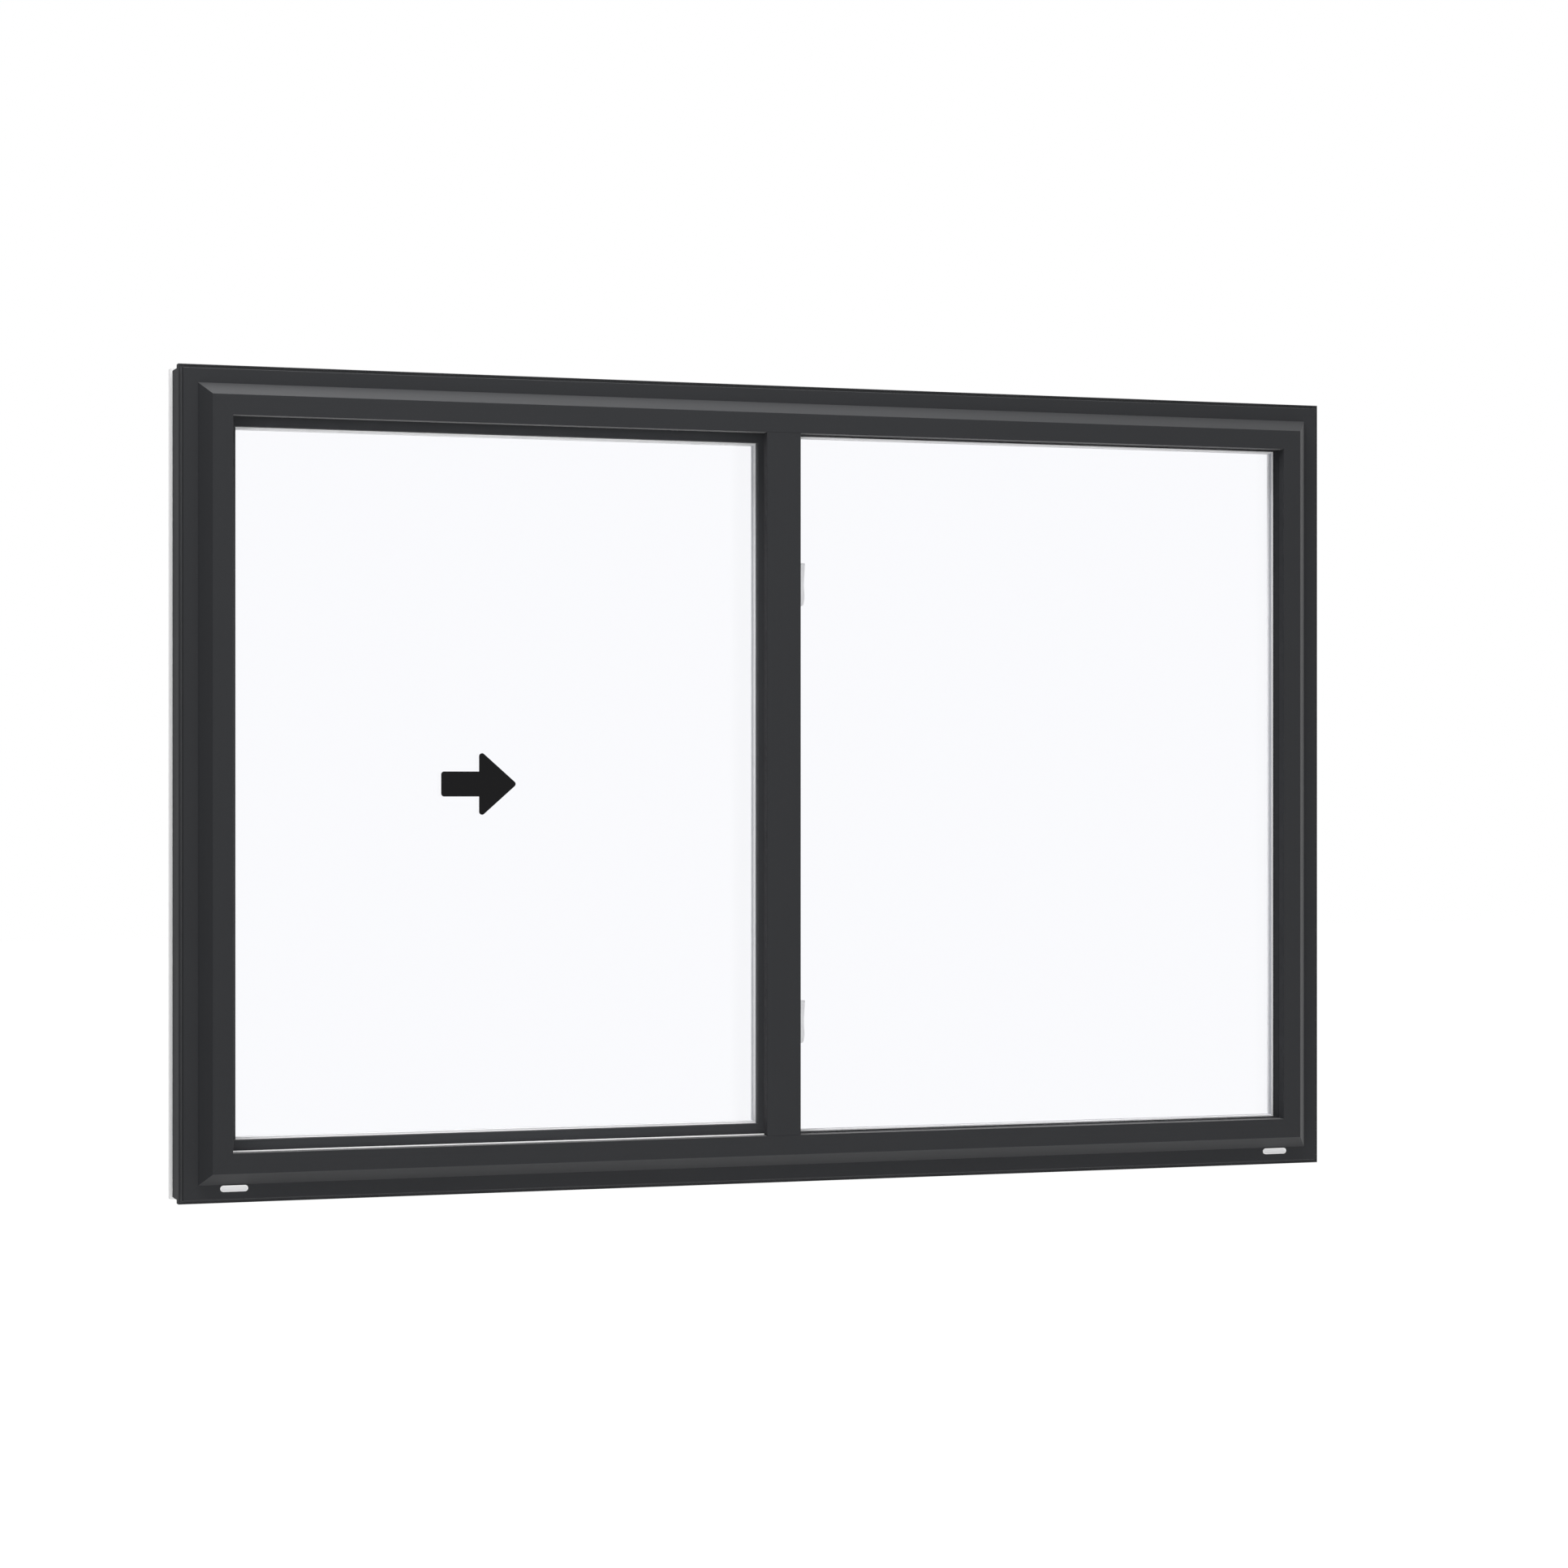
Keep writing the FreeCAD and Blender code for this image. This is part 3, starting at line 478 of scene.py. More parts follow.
@dataclass(frozen=True)
class GlassFinish:
    """Clear float glass with the slight waviness of the sheet."""

    name: str
    tint: Colour
    ior: float = 1.2
    wave: Grain = Grain(7.0, 1.0)
    wave_height: float = 0.01 * MM

    def material(self) -> bpy.types.Material:
        """Make the glass.

        Returns:
            The material.
        """
        material, graph = new_material(self.name)
        wave = graph.noise(graph.place(), self.wave)
        shader = graph.add(
            "ShaderNodeBsdfPrincipled",
            inputs={
                "Base Color": self.tint,
                "Roughness": 0.0,
                "IOR": self.ior,
                "Transmission Weight": 1.0,
                "Normal": graph.bump(wave, self.wave_height),
            },
        )
        graph.finish("ShaderNodeOutputMaterial", shader)
        return material


@dataclass(frozen=True)
class SpeckleFinish:
    """A moulded, coated or woven surface: a base colour with a fine speckle.

    Faces to the left and right may take a darker colour, painted shade for sides that get little
    light, and faces set back past a depth may take a darker colour, painted shade in the recess.
    """

    name: str
    colour: Colour
    shade: Colour
    roughness: float
    metallic: float = 0.0
    specular: float = 0.5
    speckle: Grain = Grain(1800.0, 3.0)
    speckle_height: float = 0.02 * MM
    speckle_in_colour: float = 0.5
    speckle_in_roughness: float = 0.12
    cloud: Grain = Grain(25.0, 2.0)
    cloud_in_colour: float = 0.4
    stretch: Point = (1.0, 1.0, 1.0)
    # Painted shade for faces that look left or right, and how sharply it sets in.
    side_painted_shade: Colour | None = None
    side_shade_facing: float = 0.5
    side_shade_softness: float = 0.2
    # Painted shade for faces set back past a depth, and the depth it starts at.
    sunk_painted_shade: Colour | None = None
    sunk_from: float = 0.0

    @cache
    def material(self) -> bpy.types.Material:
        """Make the material once.

        Returns:
            The material.
        """
        material, graph = new_material(self.name)
        place = graph.scaled(graph.place(), self.stretch)
        speckle = graph.noise(place, self.speckle)
        cloud = graph.noise(place, self.cloud)
        share = speckle * self.speckle_in_colour + cloud * self.cloud_in_colour
        colour = graph.mix_colour(share, self.colour, self.shade)
        # Painted shade: faces that look left or right get the darker side colour.
        if self.side_painted_shade:
            facing_x, _, _ = graph.axes(graph.facing())
            level = abs(facing_x).below(self.side_shade_facing, self.side_shade_softness)
            colour = graph.mix_colour(level, self.side_painted_shade, colour)
        # Painted shade: faces set back past the depth take the darker colour.
        if self.sunk_painted_shade:
            _, depth, _ = graph.axes(graph.place())
            raised = depth.below(self.sunk_from, EDGE_SOFTNESS)
            colour = graph.mix_colour(raised, self.sunk_painted_shade, colour)
        roughness = self.roughness + (speckle - NOISE_MIDDLE) * self.speckle_in_roughness
        shader = graph.add(
            "ShaderNodeBsdfPrincipled",
            inputs={
                "Base Color": colour,
                "Roughness": roughness,
                "Metallic": self.metallic,
                "Specular IOR Level": self.specular,
                "Normal": graph.bump(speckle, self.speckle_height),
            },
        )
        graph.finish("ShaderNodeOutputMaterial", shader)
        return material


CHARCOAL = VinylFinish(
    "charcoal_vinyl",
    colour=srgb(42.5, 43.4, 45.6),
    shade=srgb(39, 39.9, 42.1),
    seam=srgb(32, 33, 35),
    roughness=0.60,
    specular=0.11,
    sheen=0.21,
)
# Lighter than the frame's charcoal: a little of it is the sash's own tone, the rest painted light
# against the shade of the recess that the sash sits in.
SASH_CHARCOAL = VinylFinish(
    "sash_vinyl",
    colour=srgb(56, 57, 59.5),
    shade=srgb(52, 53, 55.5),
    seam=srgb(42, 43, 45),
    roughness=0.60,
    specular=0.11,
    sheen=0.08,
    left_shade_specular=0.11,
)
STOP = VinylFinish(
    "matt_vinyl",
    colour=srgb(41, 42, 44),
    shade=srgb(38, 39, 41),
    seam=srgb(32, 33, 35),
    roughness=0.75,
    specular=0.12,
)
WHITE = VinylFinish(
    "white_vinyl",
    colour=srgb(241, 241, 241),
    shade=srgb(236, 236, 236),
    seam=srgb(190, 190, 190),
    roughness=0.36,
    specular=0.35,
)
GLASS = GlassFinish("clear_glass", tint=srgb(252.5, 252.8, 254.2))
# The spacer's faces that look left or right are painted grey: painted shade.
SPACER = SpeckleFinish(
    "spacer_foam",
    colour=srgb(248, 248, 249),
    shade=srgb(242, 242, 243),
    roughness=0.62,
    specular=0.2,
    side_painted_shade=srgb(168, 170, 174),
)
# The sash spacer's sides carry a lighter painted shade.
SASH_SPACER = replace(SPACER, name="sash_spacer_foam", side_painted_shade=srgb(186, 188, 192))
# The weep cover's recessed middle is painted a darker white than its rim: painted shade.
DRAIN = SpeckleFinish(
    "weep_plastic",
    colour=srgb(246, 246, 246),
    shade=srgb(242, 242, 242),
    roughness=0.45,
    sunk_painted_shade=srgb(226, 226, 227),
)
ENAMEL = SpeckleFinish(
    "lock_enamel",
    colour=srgb(246, 246, 246),
    shade=srgb(242, 242, 242),
    roughness=0.30,
    speckle=Grain(900.0, 3.0),
)
NYLON = SpeckleFinish(
    "wheel_nylon",
    colour=srgb(52, 52, 54),
    shade=srgb(44, 44, 46),
    roughness=0.40,
)
PILE = SpeckleFinish(
    "grey_pile",
    colour=srgb(122, 124, 126),
    shade=srgb(84, 86, 88),
    roughness=0.95,
    stretch=(1.0, 0.2, 1.0),
)
TRACK = SpeckleFinish(
    "track_aluminium",
    colour=srgb(204, 206, 208),
    shade=srgb(188, 190, 193),
    roughness=0.32,
    metallic=1.0,
    stretch=(0.01, 1.0, 1.0),
)
STEEL = SpeckleFinish(
    "bracket_steel",
    colour=srgb(182, 184, 186),
    shade=srgb(168, 170, 172),
    roughness=0.38,
    metallic=1.0,
)
FILM = SpeckleFinish(
    "arrow_film",
    colour=srgb(18, 18, 19),
    shade=srgb(15, 15, 16),
    roughness=0.55,
    specular=0.1,
    speckle_height=0.004 * MM,
)
BLACK_SEAL = SpeckleFinish(
    "black_seal",
    colour=srgb(24, 24, 25),
    shade=srgb(19, 19, 20),
    roughness=0.7,
    specular=0.15,
)
# The pale seal's faces that look left or right carry painted shade.
PALE_SEAL = SpeckleFinish(
    "pale_seal",
    colour=srgb(240, 240, 241),
    shade=srgb(234, 234, 235),
    roughness=0.6,
    specular=0.2,
    side_painted_shade=srgb(162, 164, 168),
)
SCREW = SpeckleFinish(
    "screw_zinc",
    colour=srgb(196, 198, 200),
    shade=srgb(182, 184, 187),
    roughness=0.30,
    metallic=1.0,
)


def link_mesh(name: str, build: Build, material: bpy.types.Material) -> Node:
    """Turn a bmesh into an object of the scene.

    Args:
        name: The object's name.
        build: Its geometry, which is freed.
        material: Its finish.

    Returns:
        The linked object.
    """
    mesh = bpy.data.meshes.new(name)
    build.to_mesh(mesh)
    build.free()
    mesh.materials.append(material)
    made = bpy.data.objects.new(name, mesh)
    bpy.context.collection.objects.link(made)
    LOG.info("made %s with %d faces", name, len(mesh.polygons))
    return made


def make_piece(name: str, build: Build, material: bpy.types.Material) -> Node:
    """Turn a bmesh into a piece that rides on the window.

    Args:
        name: The piece's name.
        build: Its geometry, which is freed.
        material: Its finish.

    Returns:
        The piece.
    """
    bmesh.ops.recalc_face_normals(build, faces=build.faces)
    piece = link_mesh(name, build, material)
    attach(piece, BODY)
    return piece


def rounded_outline(corners: Sequence[tuple[float, float, float]], steps: int) -> list[Flat]:
    """Round the corners of a flat outline.

    Args:
        corners: Two coordinates and a radius for each corner, in order.
        steps: Points on each rounded corner.

    Returns:
        The points of the rounded outline.
    """
    points: list[Flat] = []
    count = len(corners)
    for index, (across, along, radius) in enumerate(corners):
        here = Vector((across, along))
        if radius == 0.0:
            points.append((across, along))
            continue
        before = (Vector(corners[index - 1][:2]) - here).normalized()
        after = (Vector(corners[(index + 1) % count][:2]) - here).normalized()
        half_angle = before.angle(after) / 2
        inward = (before + after).normalized()
        centre = here + inward * (radius / math.sin(half_angle))
        start = here + before * (radius / math.tan(half_angle)) - centre
        end = here + after * (radius / math.tan(half_angle)) - centre
        for step in range(steps + 1):
            share = step / steps
            spoke = start.lerp(end, share).normalized() * radius
            points.append(tuple(centre + spoke))
    return points


def skin(build: Build, first: Sequence[Vertex], second: Sequence[Vertex]) -> None:
    """Join two closed loops of points with faces."""
    for index in range(len(first)):
        build.faces.new((first[index - 1], first[index], second[index], second[index - 1]))


def prism(build: Build, ends: Sequence[Sequence[Point]]) -> None:
    """Add a straight prism to a bmesh.

    Args:
        build: Where the prism goes.
        ends: The points of its two ends, in the same order.
    """
    first, second = ([build.verts.new(point) for point in end] for end in ends)
    build.faces.new(first)
    build.faces.new(list(reversed(second)))
    skin(build, first, second)


def dress(node: Node, material: bpy.types.Material) -> None:
    """Give a node of the model its finish.

    Args:
        node: The node.
        material: What it is made of.
    """
    if node.data.materials:
        for slot in node.material_slots:
            slot.material = material
    else:
        node.data.materials.append(material)
    LOG.info("dressed %s in %s", node.name, material.name)


def glaze(node: Node, material: bpy.types.Material) -> None:
    """Give a pane its glass and let the light through it, as a clear pane does.

    Args:
        node: The pane.
        material: The glass.
    """
    dress(node, material)
    node.visible_shadow = False
    node.visible_diffuse = False


@dataclass(frozen=True)
class SightLine:
    """The rectangle of glass that one side of a lite leaves bare."""

    left: float
    right: float
    bottom: float
    top: float

    @classmethod
    def between(cls, left: str, right: str, bottom: str, top: str) -> "SightLine":
        """Take the rectangle from the nodes around it.

        Args:
            left: The node on its left.
            right: The node on its right.
            bottom: The node below it.
            top: The node above it.

        Returns:
            The rectangle between their near edges.
        """
        return cls(
            left=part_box(left)[1][0],
            right=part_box(right)[0][0],
            bottom=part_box(bottom)[1][2],
            top=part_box(top)[0][2],
        )

    def corners(self, inward: float, y: float) -> list[Point]:
        """The rectangle's corners, drawn in by a distance.

        Args:
            inward: How far they are drawn in.
            y: The depth that they lie at.

        Returns:
            The four corners in order.
        """
        left, right = self.left + inward, self.right - inward
        bottom, top = self.bottom + inward, self.top - inward
        return [(left, y, bottom), (right, y, bottom), (right, y, top), (left, y, top)]


@dataclass(frozen=True)
class GlazingSeal:
    """The soft wedge in the corner between a pane and what holds it."""

    name: str
    sight: SightLine
    finish: SpeckleFinish
    reach: float = 1.0 * MM
    rise: float = 1.8 * MM

    def build(self, glass_face: float, outward: float) -> Node:
        """Run the wedge all round one face of the glass.

        Args:
            glass_face: Y of the face of the glass.
            outward: Minus 1 for the outside face, 1 for the room side.

        Returns:
            The seal.
        """
        build = bmesh.new()
        section = ((0.0, outward * self.rise), (0.0, 0.0), (self.reach, 0.0))
        loops = [
            [build.verts.new(corner) for corner in self.sight.corners(inward, glass_face + rise)]
            for inward, rise in section
        ]
        for index, loop in enumerate(loops):
            skin(build, loops[index - 1], loop)
        return make_piece(self.name, build, self.finish.material())


@dataclass
class Surround:
    """The fixed frame: head, sill and jambs, dark outside and white inside."""

    nodes: Mapping[str, Node]
    flange_y: float
    drain_rim: float = 0.3 * MM
    # Painted light: the lighter charcoal of the outer channel's outward faces, and how far behind
    # the flange front it starts.
    groove_painted_light: Colour = srgb(72, 73, 75)
    groove_inset: float = 1.2 * MM

    def dress(self) -> None:
        """Finish the eight extrusions, the sill's cover and track and the drains."""
        ring = MitreRing.around("frame", "frame_sill_exterior", "frame_head_exterior")
        groove_from = self.flange_y + self.groove_inset
        charcoal = replace(CHARCOAL, groove_painted_light=self.groove_painted_light, groove_from=groove_from)
        for side, run in (
            ("head", Run.ACROSS),
            ("sill", Run.ACROSS),
            ("left_jamb", Run.UPRIGHT),
            ("right_jamb", Run.UPRIGHT),
        ):
            dress(self.nodes[f"frame_{side}_exterior"], charcoal.material(run, ring))
            dress(self.nodes[f"frame_{side}_interior"], WHITE.material(run, ring))
        dress(self.nodes["sill_channel_cover"], WHITE.material(Run.ACROSS, None))
        dress(self.nodes["roller_track"], TRACK.material())
        # The painted shade starts just behind the front of the weep cover's rim.
        rim_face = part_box("weep_covers")[0][1]
        drain = replace(DRAIN, sunk_from=rim_face + self.drain_rim)
        dress(self.nodes["weep_covers"], drain.material())
        dress(self.nodes["pile_strips"], PILE.material())


@dataclass
class FixedLite:
    """The right half: stops, beads, meeting stile and its glass."""

    nodes: Mapping[str, Node]
    glass: bpy.types.Material
    spacer: bpy.types.Material

    def dress(self) -> None:
        """Finish the parts that hold the fixed glass."""
        for side, run in (
            ("head", Run.ACROSS),
            ("sill", Run.ACROSS),
            ("right_jamb", Run.UPRIGHT),
        ):
            dress(self.nodes[f"fixed_stop_{side}"], STOP.material(run, None))
            dress(self.nodes[f"fixed_bead_{side}"], WHITE.material(run, None))
        dress(self.nodes["fixed_stile_exterior"], CHARCOAL.material(Run.UPRIGHT, None))
        dress(self.nodes["fixed_stile_interior"], WHITE.material(Run.UPRIGHT, None))
        glaze(self.nodes["fixed_glass_outer"], self.glass)
        glaze(self.nodes["fixed_glass_inner"], self.glass)
        dress(self.nodes["fixed_glass_spacer"], self.spacer)

    def build_seals(self) -> None:
        """Seal both faces of the fixed glass."""
        outside = SightLine.between(
            "fixed_stile_exterior", "fixed_stop_right_jamb", "fixed_stop_sill", "fixed_stop_head"
        )
        inside = SightLine.between(
            "fixed_stile_interior", "fixed_bead_right_jamb", "fixed_bead_sill", "fixed_bead_head"
        )
        outer_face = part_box("fixed_glass_outer")[0][1]
        inner_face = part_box("fixed_glass_inner")[1][1]
        GlazingSeal("fixed_seal_outside", outside, BLACK_SEAL).build(outer_face, -1.0)
        GlazingSeal("fixed_seal_inside", inside, PALE_SEAL).build(inner_face, 1.0)


@dataclass
class SlidingSash:
    """The left half: rails and stiles, glass, rollers, guides and the lip on the glass."""

    nodes: Mapping[str, Node]
    glass: bpy.types.Material
    spacer: bpy.types.Material
    seal_rise: float = 0.8 * MM
    lip_width: float = 4.1 * MM
    lip_rise: float = 1.2 * MM
    lip_round: float = 0.6 * MM
    lip_steps: int = 5

    def dress(self) -> None:
        """Finish the sash and what it runs on."""
        ring = MitreRing.around("sash", "sash_bottom_rail_exterior", "sash_top_rail_exterior")
        for part, run in (
            ("top_rail", Run.ACROSS),
            ("bottom_rail", Run.ACROSS),
            ("pull_stile", Run.UPRIGHT),
            ("meeting_stile", Run.UPRIGHT),
        ):
            dress(self.nodes[f"sash_{part}_exterior"], SASH_CHARCOAL.material(run, ring))
            dress(self.nodes[f"sash_{part}_interior"], WHITE.material(run, ring))
            dress(self.nodes[f"sash_{part}_bead"], WHITE.material(run, ring))
        dress(self.nodes["sash_interlock"], SASH_CHARCOAL.material(Run.UPRIGHT, None))
        glaze(self.nodes["sash_glass_outer"], self.glass)
        glaze(self.nodes["sash_glass_inner"], self.glass)
        dress(self.nodes["sash_glass_spacer"], self.spacer)
        dress(self.nodes["roller_wheels"], NYLON.material())
        dress(self.nodes["sash_head_guides"], NYLON.material())
        dress(self.nodes["roller_housings"], STEEL.material())

    def build_seals(self) -> None:
        """Seal both faces of the sash glass and close the pull stile on it."""
        sides = ("pull_stile", "meeting_stile", "bottom_rail", "top_rail")
        outside = SightLine.between(*(f"sash_{side}_exterior" for side in sides))
        inside = SightLine.between(*(f"sash_{side}_bead" for side in sides))
        outer_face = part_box("sash_glass_outer")[0][1]
        inner_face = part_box("sash_glass_inner")[1][1]
        GlazingSeal("sash_seal_outside", outside, PALE_SEAL, rise=self.seal_rise).build(
            outer_face, -1.0
        )
        GlazingSeal("sash_seal_inside", inside, PALE_SEAL).build(inner_face, 1.0)
        self.build_pull_lip(outside, outer_face)

    def build_pull_lip(self, sight: SightLine, glass_face: float) -> Node:
        """Run the soft dark lip that closes the pull stile on the glass.

        Args:
            sight: The rectangle that the sash leaves bare.
            glass_face: Y of the outside face of the glass.

        Returns:
            The lip.
        """
        lip_edge = sight.left + self.lip_width
        lip_face = glass_face - self.lip_rise
        section = rounded_outline(
            (
                (sight.left, glass_face, 0.0),
                (lip_edge, glass_face, 0.0),
                (lip_edge, lip_face, self.lip_round),
                (sight.left, lip_face, 0.0),
            ),
            self.lip_steps,
        )
        build = bmesh.new()
        prism(build, [[(x, y, z) for x, y in section] for z in (sight.bottom, sight.top)])
        return make_piece("sash_pull_lip", build, SASH_CHARCOAL.material(Run.UPRIGHT, None))


@dataclass(frozen=True)
class CrossScrew:
    """A small countersunk screw with a cross recess, facing the room."""

    radius: float = 2.9 * MM
    crown: float = 0.5 * MM
    recess_reach: float = 1.7 * MM
    recess_half_width: float = 0.42 * MM
    recess_depth: float = 0.9 * MM
    rim_points: int = 28

    def add_to(self, build: Build, place: Point) -> None:
        """Add one screw.

        Args:
            build: Where it goes.
            place: The middle of the head, on the surface that it sits in.
        """
        x, y, z = place
        reach, half = self.recess_reach, self.recess_half_width
        arm = [(half, half), (half, reach), (-half, reach)]
        cross = [point for turn in range(4) for point in self.quarter_turns(arm, turn)]
        step = 2 * math.pi / self.rim_points
        rim = [
            (self.radius * math.cos(step * index), self.radius * math.sin(step * index))
            for index in range(self.rim_points)
        ]
        crown_y = y + self.crown
        floor_y = crown_y - self.recess_depth
        edge = [build.verts.new((x + u, y, z + v)) for u, v in rim]
        mouth = [build.verts.new((x + u, crown_y, z + v)) for u, v in cross]
        floor = [build.verts.new((x + u, floor_y, z + v)) for u, v in cross]
        loops = [self.ring_edges(build, loop) for loop in (edge, mouth)]
        bmesh.ops.triangle_fill(
            build, use_beauty=True, edges=loops[0] + loops[1], normal=(0.0, 1.0, 0.0)
        )
        skin(build, mouth, floor)
        build.faces.new(floor)

    @staticmethod
    def quarter_turns(points: Sequence[Flat], count: int) -> list[Flat]:
        """Turn flat points by a number of right angles.

        Args:
            points: The points.
            count: How many right angles.

        Returns:
            The turned points.
        """
        turned = list(points)
        for _ in range(count):
            turned = [(-v, u) for u, v in turned]
        return turned

    @staticmethod
    def ring_edges(build: Build, loop: Sequence[Vertex]) -> list[bmesh.types.BMEdge]:
        """Join a loop of points with edges."""
        return [build.edges.new((loop[index - 1], loop[index])) for index in range(len(loop))]


@dataclass
class SlideArrow:
    """The film arrow on the sash glass that shows which way the sash opens."""

    length: float = 116.0 * MM
    head_length: float = 58.3 * MM
    head_height: float = 102.5 * MM
    shaft_height: float = 37.2 * MM
    corner_radius: float = 4.5 * MM
    thickness: float = 0.2 * MM
    corner_steps: int = 8

    def build(self, centre_x: float, centre_z: float) -> Node:
        """Make the arrow on the outside face of the sash glass.

        Args:
            centre_x: X of the middle of the arrow.
            centre_z: Z of the middle of the arrow.

        Returns:
            The film.
        """
        glass_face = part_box("sash_glass_outer")[0][1]
        tail = centre_x - self.length / 2
        tip = centre_x + self.length / 2
        neck = tip - self.head_length
        half_head = self.head_height / 2
        half_shaft = self.shaft_height / 2
        radius = self.corner_radius
        corners = [
            (tail, centre_z - half_shaft, radius),
            (neck, centre_z - half_shaft, 0.0),
            (neck, centre_z - half_head, radius),
            (tip, centre_z, radius),
            (neck, centre_z + half_head, radius),
            (neck, centre_z + half_shaft, 0.0),
            (tail, centre_z + half_shaft, radius),
        ]
        build = bmesh.new()
        outline = rounded_outline(corners, self.corner_steps)
        faces = (glass_face - self.thickness, glass_face)
        prism(build, [[(x, y, z) for x, z in outline] for y in faces])
        arrow = make_piece("slide_arrow", build, FILM.material())
        return arrow


@dataclass
class LockSet:
    """The two sweep locks and their keepers."""

    nodes: Mapping[str, Node]
    keeper_length: float = 46.0 * MM
    plate_thickness: float = 1.5 * MM
    screw_from_end: float = 4.0 * MM
    screw_beside_sash: float = 4.2 * MM

    def dress(self) -> None:
        """Finish cases, levers and keepers."""
        enamel = ENAMEL.material()
        for name in ("lock_cases", "lock_levers", "lock_keepers"):
            dress(self.nodes[name], enamel)

    def build_screws(self) -> Node:
        """Drive two screws into each keeper, clear of the cam tongue between them.

        Returns:
            The four screws as one piece.
        """
        low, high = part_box("lock_keepers")
        sash_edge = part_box("sash_meeting_stile_interior")[1][0]
        x = sash_edge + self.screw_beside_sash
        y = low[1] + self.plate_thickness
        inset = self.screw_from_end
        build = bmesh.new()
        for keeper_low in (low[2], high[2] - self.keeper_length):
            for z in (keeper_low + inset, keeper_low + self.keeper_length - inset):
                CrossScrew().add_to(build, (x, y, z))
        return make_piece("keeper_screws", build, SCREW.material())


@dataclass(frozen=True)
class SoftBox:
    """One rectangular studio lamp, which neither the camera nor the glass shows."""

    name: str
    place: Point
    target: Point
    width: float
    height: float
    power: float
    in_gloss: bool = True

    def build(self) -> None:
        """Hang the lamp and aim it."""
        data = bpy.data.lights.new(self.name, "AREA")
        data.shape = "RECTANGLE"
        data.size = self.width
        data.size_y = self.height
        data.energy = self.power
        lamp = bpy.data.objects.new(self.name, data)
        lamp.visible_camera = False
        lamp.visible_glossy = self.in_gloss
        lamp.visible_transmission = False
        lamp.location = self.place
        aim = Vector(self.target) - Vector(self.place)
        lamp.rotation_euler = aim.to_track_quat("-Z", "Y").to_euler()
        bpy.context.collection.objects.link(lamp)


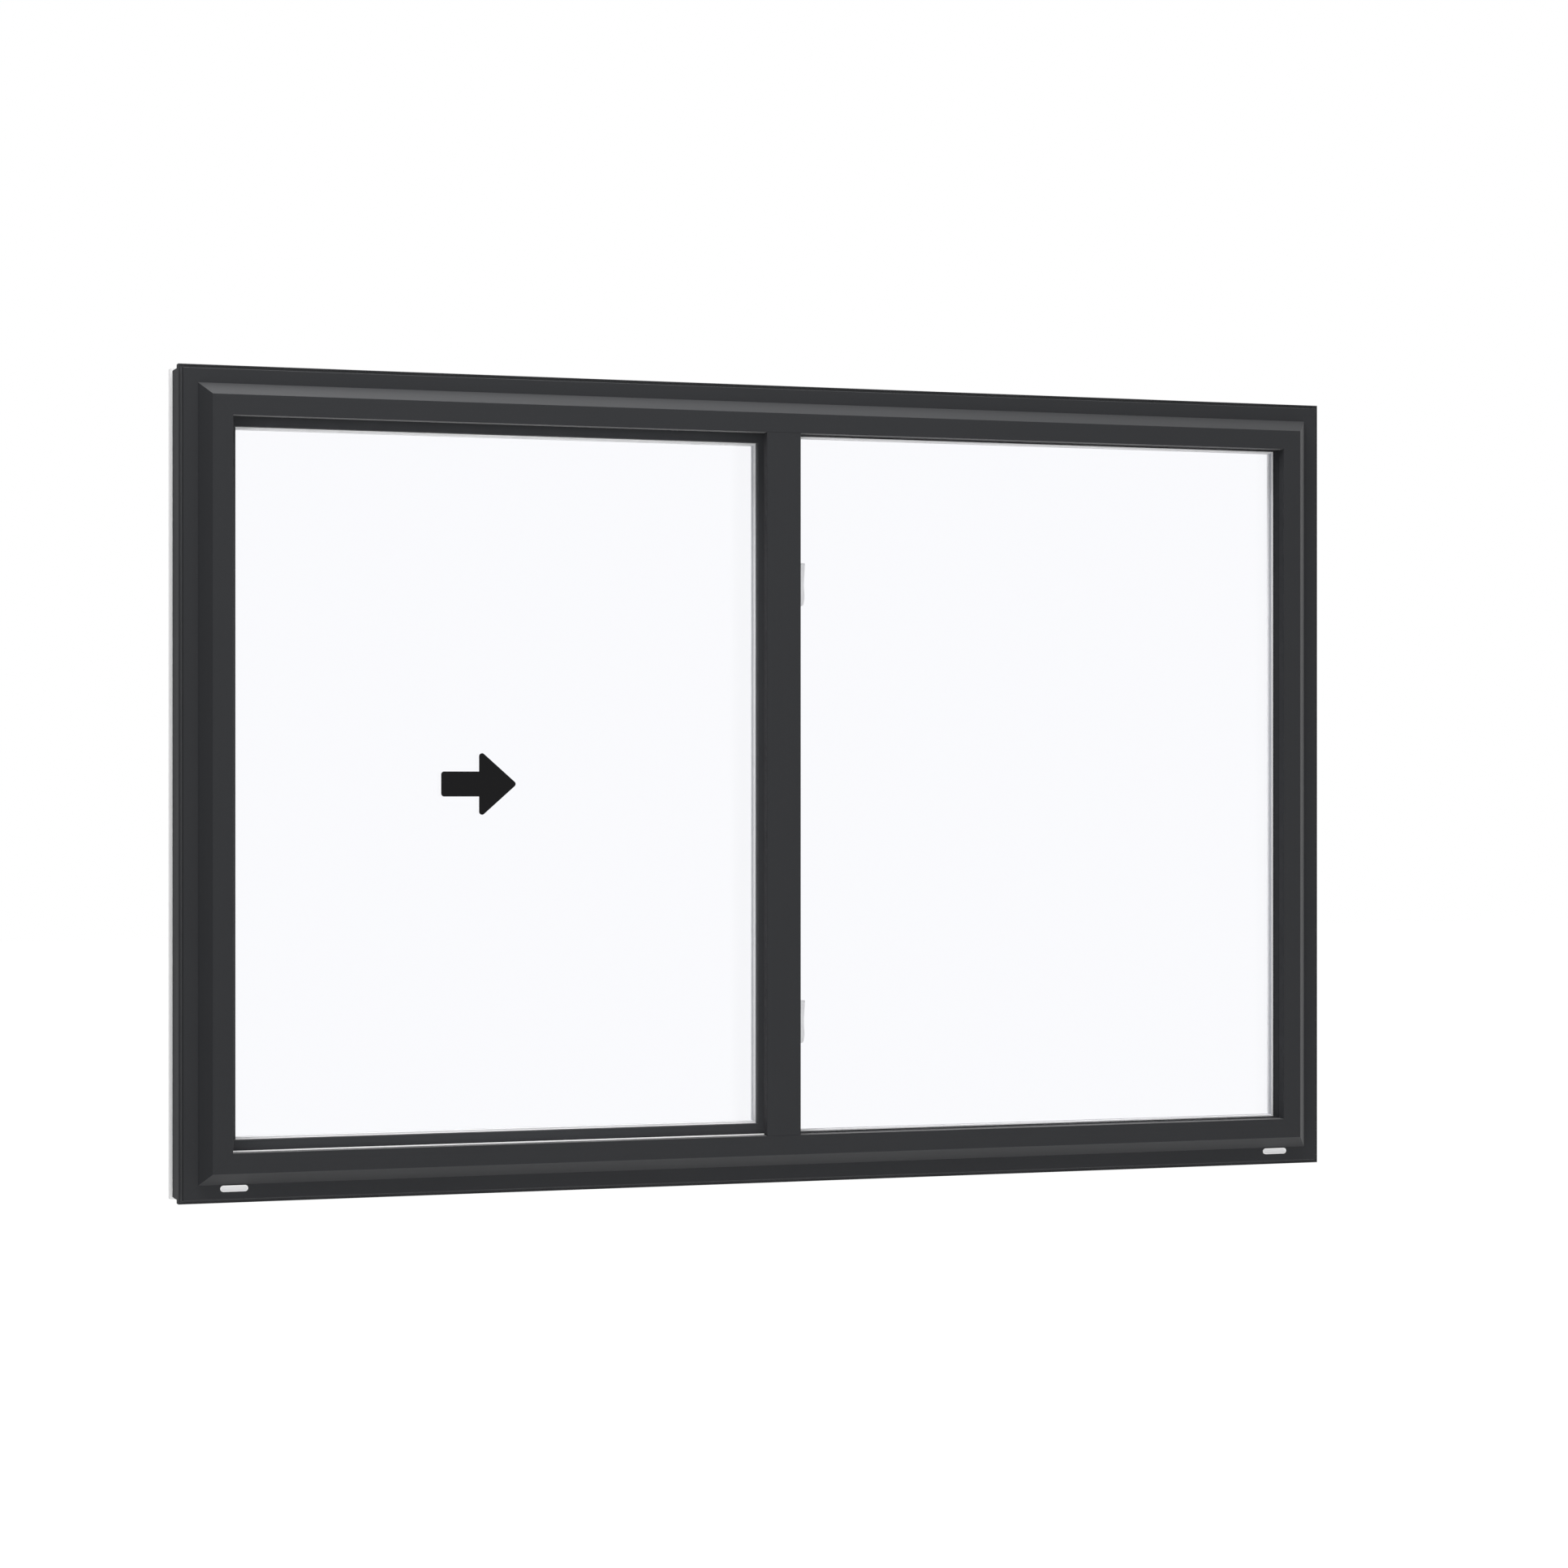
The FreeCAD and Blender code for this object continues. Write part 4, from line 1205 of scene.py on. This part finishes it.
@dataclass
class Studio:
    """White surroundings, a pale floor and soft lamps."""

    ambient: float = 0.30
    floor_drop: float = 0.90
    floor_half: float = 30.0
    white: Colour = (1.0, 1.0, 1.0)
    floor_colour: Colour = (0.86, 0.86, 0.86)
    floor_glow: float = 1.26
    glow_share: float = 0.75
    lamps: tuple[SoftBox, ...] = (
        SoftBox(
            "overhead",
            place=(-0.8, -0.5, 3.4),
            target=(-0.2, -0.3, 0.6),
            width=3.0,
            height=2.2,
            power=144.0,
        ),
        SoftBox(
            "front",
            place=(-2.7, -5.6, 1.0),
            target=(0.0, 0.0, 0.6),
            width=6.0,
            height=2.5,
            power=126.0,
            in_gloss=False,
        ),
        SoftBox(
            "below",
            place=(0.4, -2.2, -0.75),
            target=(0.1, 0.0, 0.4),
            width=3.2,
            height=0.8,
            power=10.0,
        ),
        SoftBox(
            "room",
            place=(0.0, 4.5, 2.0),
            target=(0.0, 0.0, 0.6),
            width=3.4,
            height=2.4,
            power=80.0,
            in_gloss=False,
        ),
        SoftBox(
            "right",
            place=(4.6, 1.4, 1.4),
            target=(0.9, 0.0, 0.6),
            width=2.4,
            height=2.0,
            power=44.0,
            in_gloss=False,
        ),
    )

    def build(self) -> None:
        """Make the world, the floor and the lamps."""
        self.make_world()
        self.make_floor()
        for lamp in self.lamps:
            lamp.build()
        bpy.context.scene.view_settings.view_transform = "Standard"

    @staticmethod
    def seen(graph: Graph) -> tuple[Signal, Signal]:
        """Tell the rays that show the surroundings from those that only light the object.

        Args:
            graph: Where the nodes go.

        Returns:
            1 for a ray that comes direct or by gloss, and 1 for a ray that comes through glass.
        """
        path = graph.add("ShaderNodeLightPath").socket.node
        camera, glossy, through = (
            Signal(graph, path.outputs[name])
            for name in ("Is Camera Ray", "Is Glossy Ray", "Is Transmission Ray")
        )
        return camera.math("MAXIMUM", glossy), through

    def make_world(self) -> None:
        """A white background that lights the object only at the ambient level."""
        world = bpy.data.worlds.new("studio")
        world.use_nodes = True
        bpy.context.scene.world = world
        graph = Graph(world.node_tree)
        direct, through = self.seen(graph)
        seen = direct.math("MAXIMUM", through)
        strength = seen * (1.0 - self.ambient) + self.ambient
        sky = graph.add("ShaderNodeBackground", inputs={"Color": self.white, "Strength": strength})
        graph.finish("ShaderNodeOutputWorld", sky)

    def make_floor(self) -> None:
        """A pale floor below the window that takes its shadow."""
        material, graph = new_material("studio_floor")
        direct, through = self.seen(graph)
        strength = self.floor_glow - through * (self.floor_glow - 1.0)
        share = (direct * self.glow_share).math("MAXIMUM", through)
        plain = graph.add("ShaderNodeBsdfDiffuse", inputs={"Color": self.floor_colour})
        glow = graph.add("ShaderNodeEmission", inputs={"Color": self.white, "Strength": strength})
        shader = graph.add("ShaderNodeMixShader", inputs={0: share, 1: plain, 2: glow})
        graph.finish("ShaderNodeOutputMaterial", shader)
        build = bmesh.new()
        half = self.floor_half
        corners = [(-half, -half), (half, -half), (half, half), (-half, half)]
        build.faces.new([build.verts.new((x, y, -self.floor_drop)) for x, y in corners])
        floor = link_mesh("floor", build, material)
        floor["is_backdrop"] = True


@dataclass(frozen=True)
class PhotoCamera:
    """The camera of the photograph: level, at mid-height, left of the window."""

    image_width: float = 1932.0
    focal_length: float = 4490.5
    yaw_degrees: float = 18.853
    distance: float = 5.2256
    left_of_centre: float = 1.7749
    sensor: float = 36.0
    far_clip: float = 200.0

    def build(self, flange_y: float, middle_z: float) -> None:
        """Place the camera.

        Args:
            flange_y: Y of the front of the outer flange, which the distance is measured from.
            middle_z: Z of the middle of the window.
        """
        data = bpy.data.cameras.new("photo_camera")
        data.sensor_width = self.sensor
        data.lens = self.sensor * self.focal_length / self.image_width
        data.clip_end = self.far_clip
        camera = bpy.data.objects.new("photo_camera", data)
        camera.location = (-self.left_of_centre, flange_y - self.distance, middle_z)
        camera.rotation_euler = (math.radians(90.0), 0.0, -math.radians(self.yaw_degrees))
        bpy.context.collection.objects.link(camera)
        bpy.context.scene.camera = camera


def main() -> None:
    """Load the model, dress it, add the small pieces and set the studio."""
    logging.basicConfig(level=logging.INFO, format="%(name)s: %(message)s")
    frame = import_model()
    cad_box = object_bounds()
    nodes = frame["nodes"]
    low, high = cad_box
    middle_x = (low[0] + high[0]) / 2
    middle_z = (low[2] + high[2]) / 2
    left_half_middle = (low[0] + middle_x) / 2
    flange_y = low[1] + FLANGE_TO_FACE
    PhotoCamera().build(flange_y, middle_z)
    Studio().build()
    glass = GLASS.material()
    Surround(nodes, flange_y).dress()
    fixed_lite = FixedLite(nodes, glass, SPACER.material())
    fixed_lite.dress()
    fixed_lite.build_seals()
    sash = SlidingSash(nodes, glass, SASH_SPACER.material())
    sash.dress()
    sash.build_seals()
    locks = LockSet(nodes)
    locks.dress()
    locks.build_screws()
    SlideArrow().build(left_half_middle, middle_z)


if __name__ == "__main__":
    main()
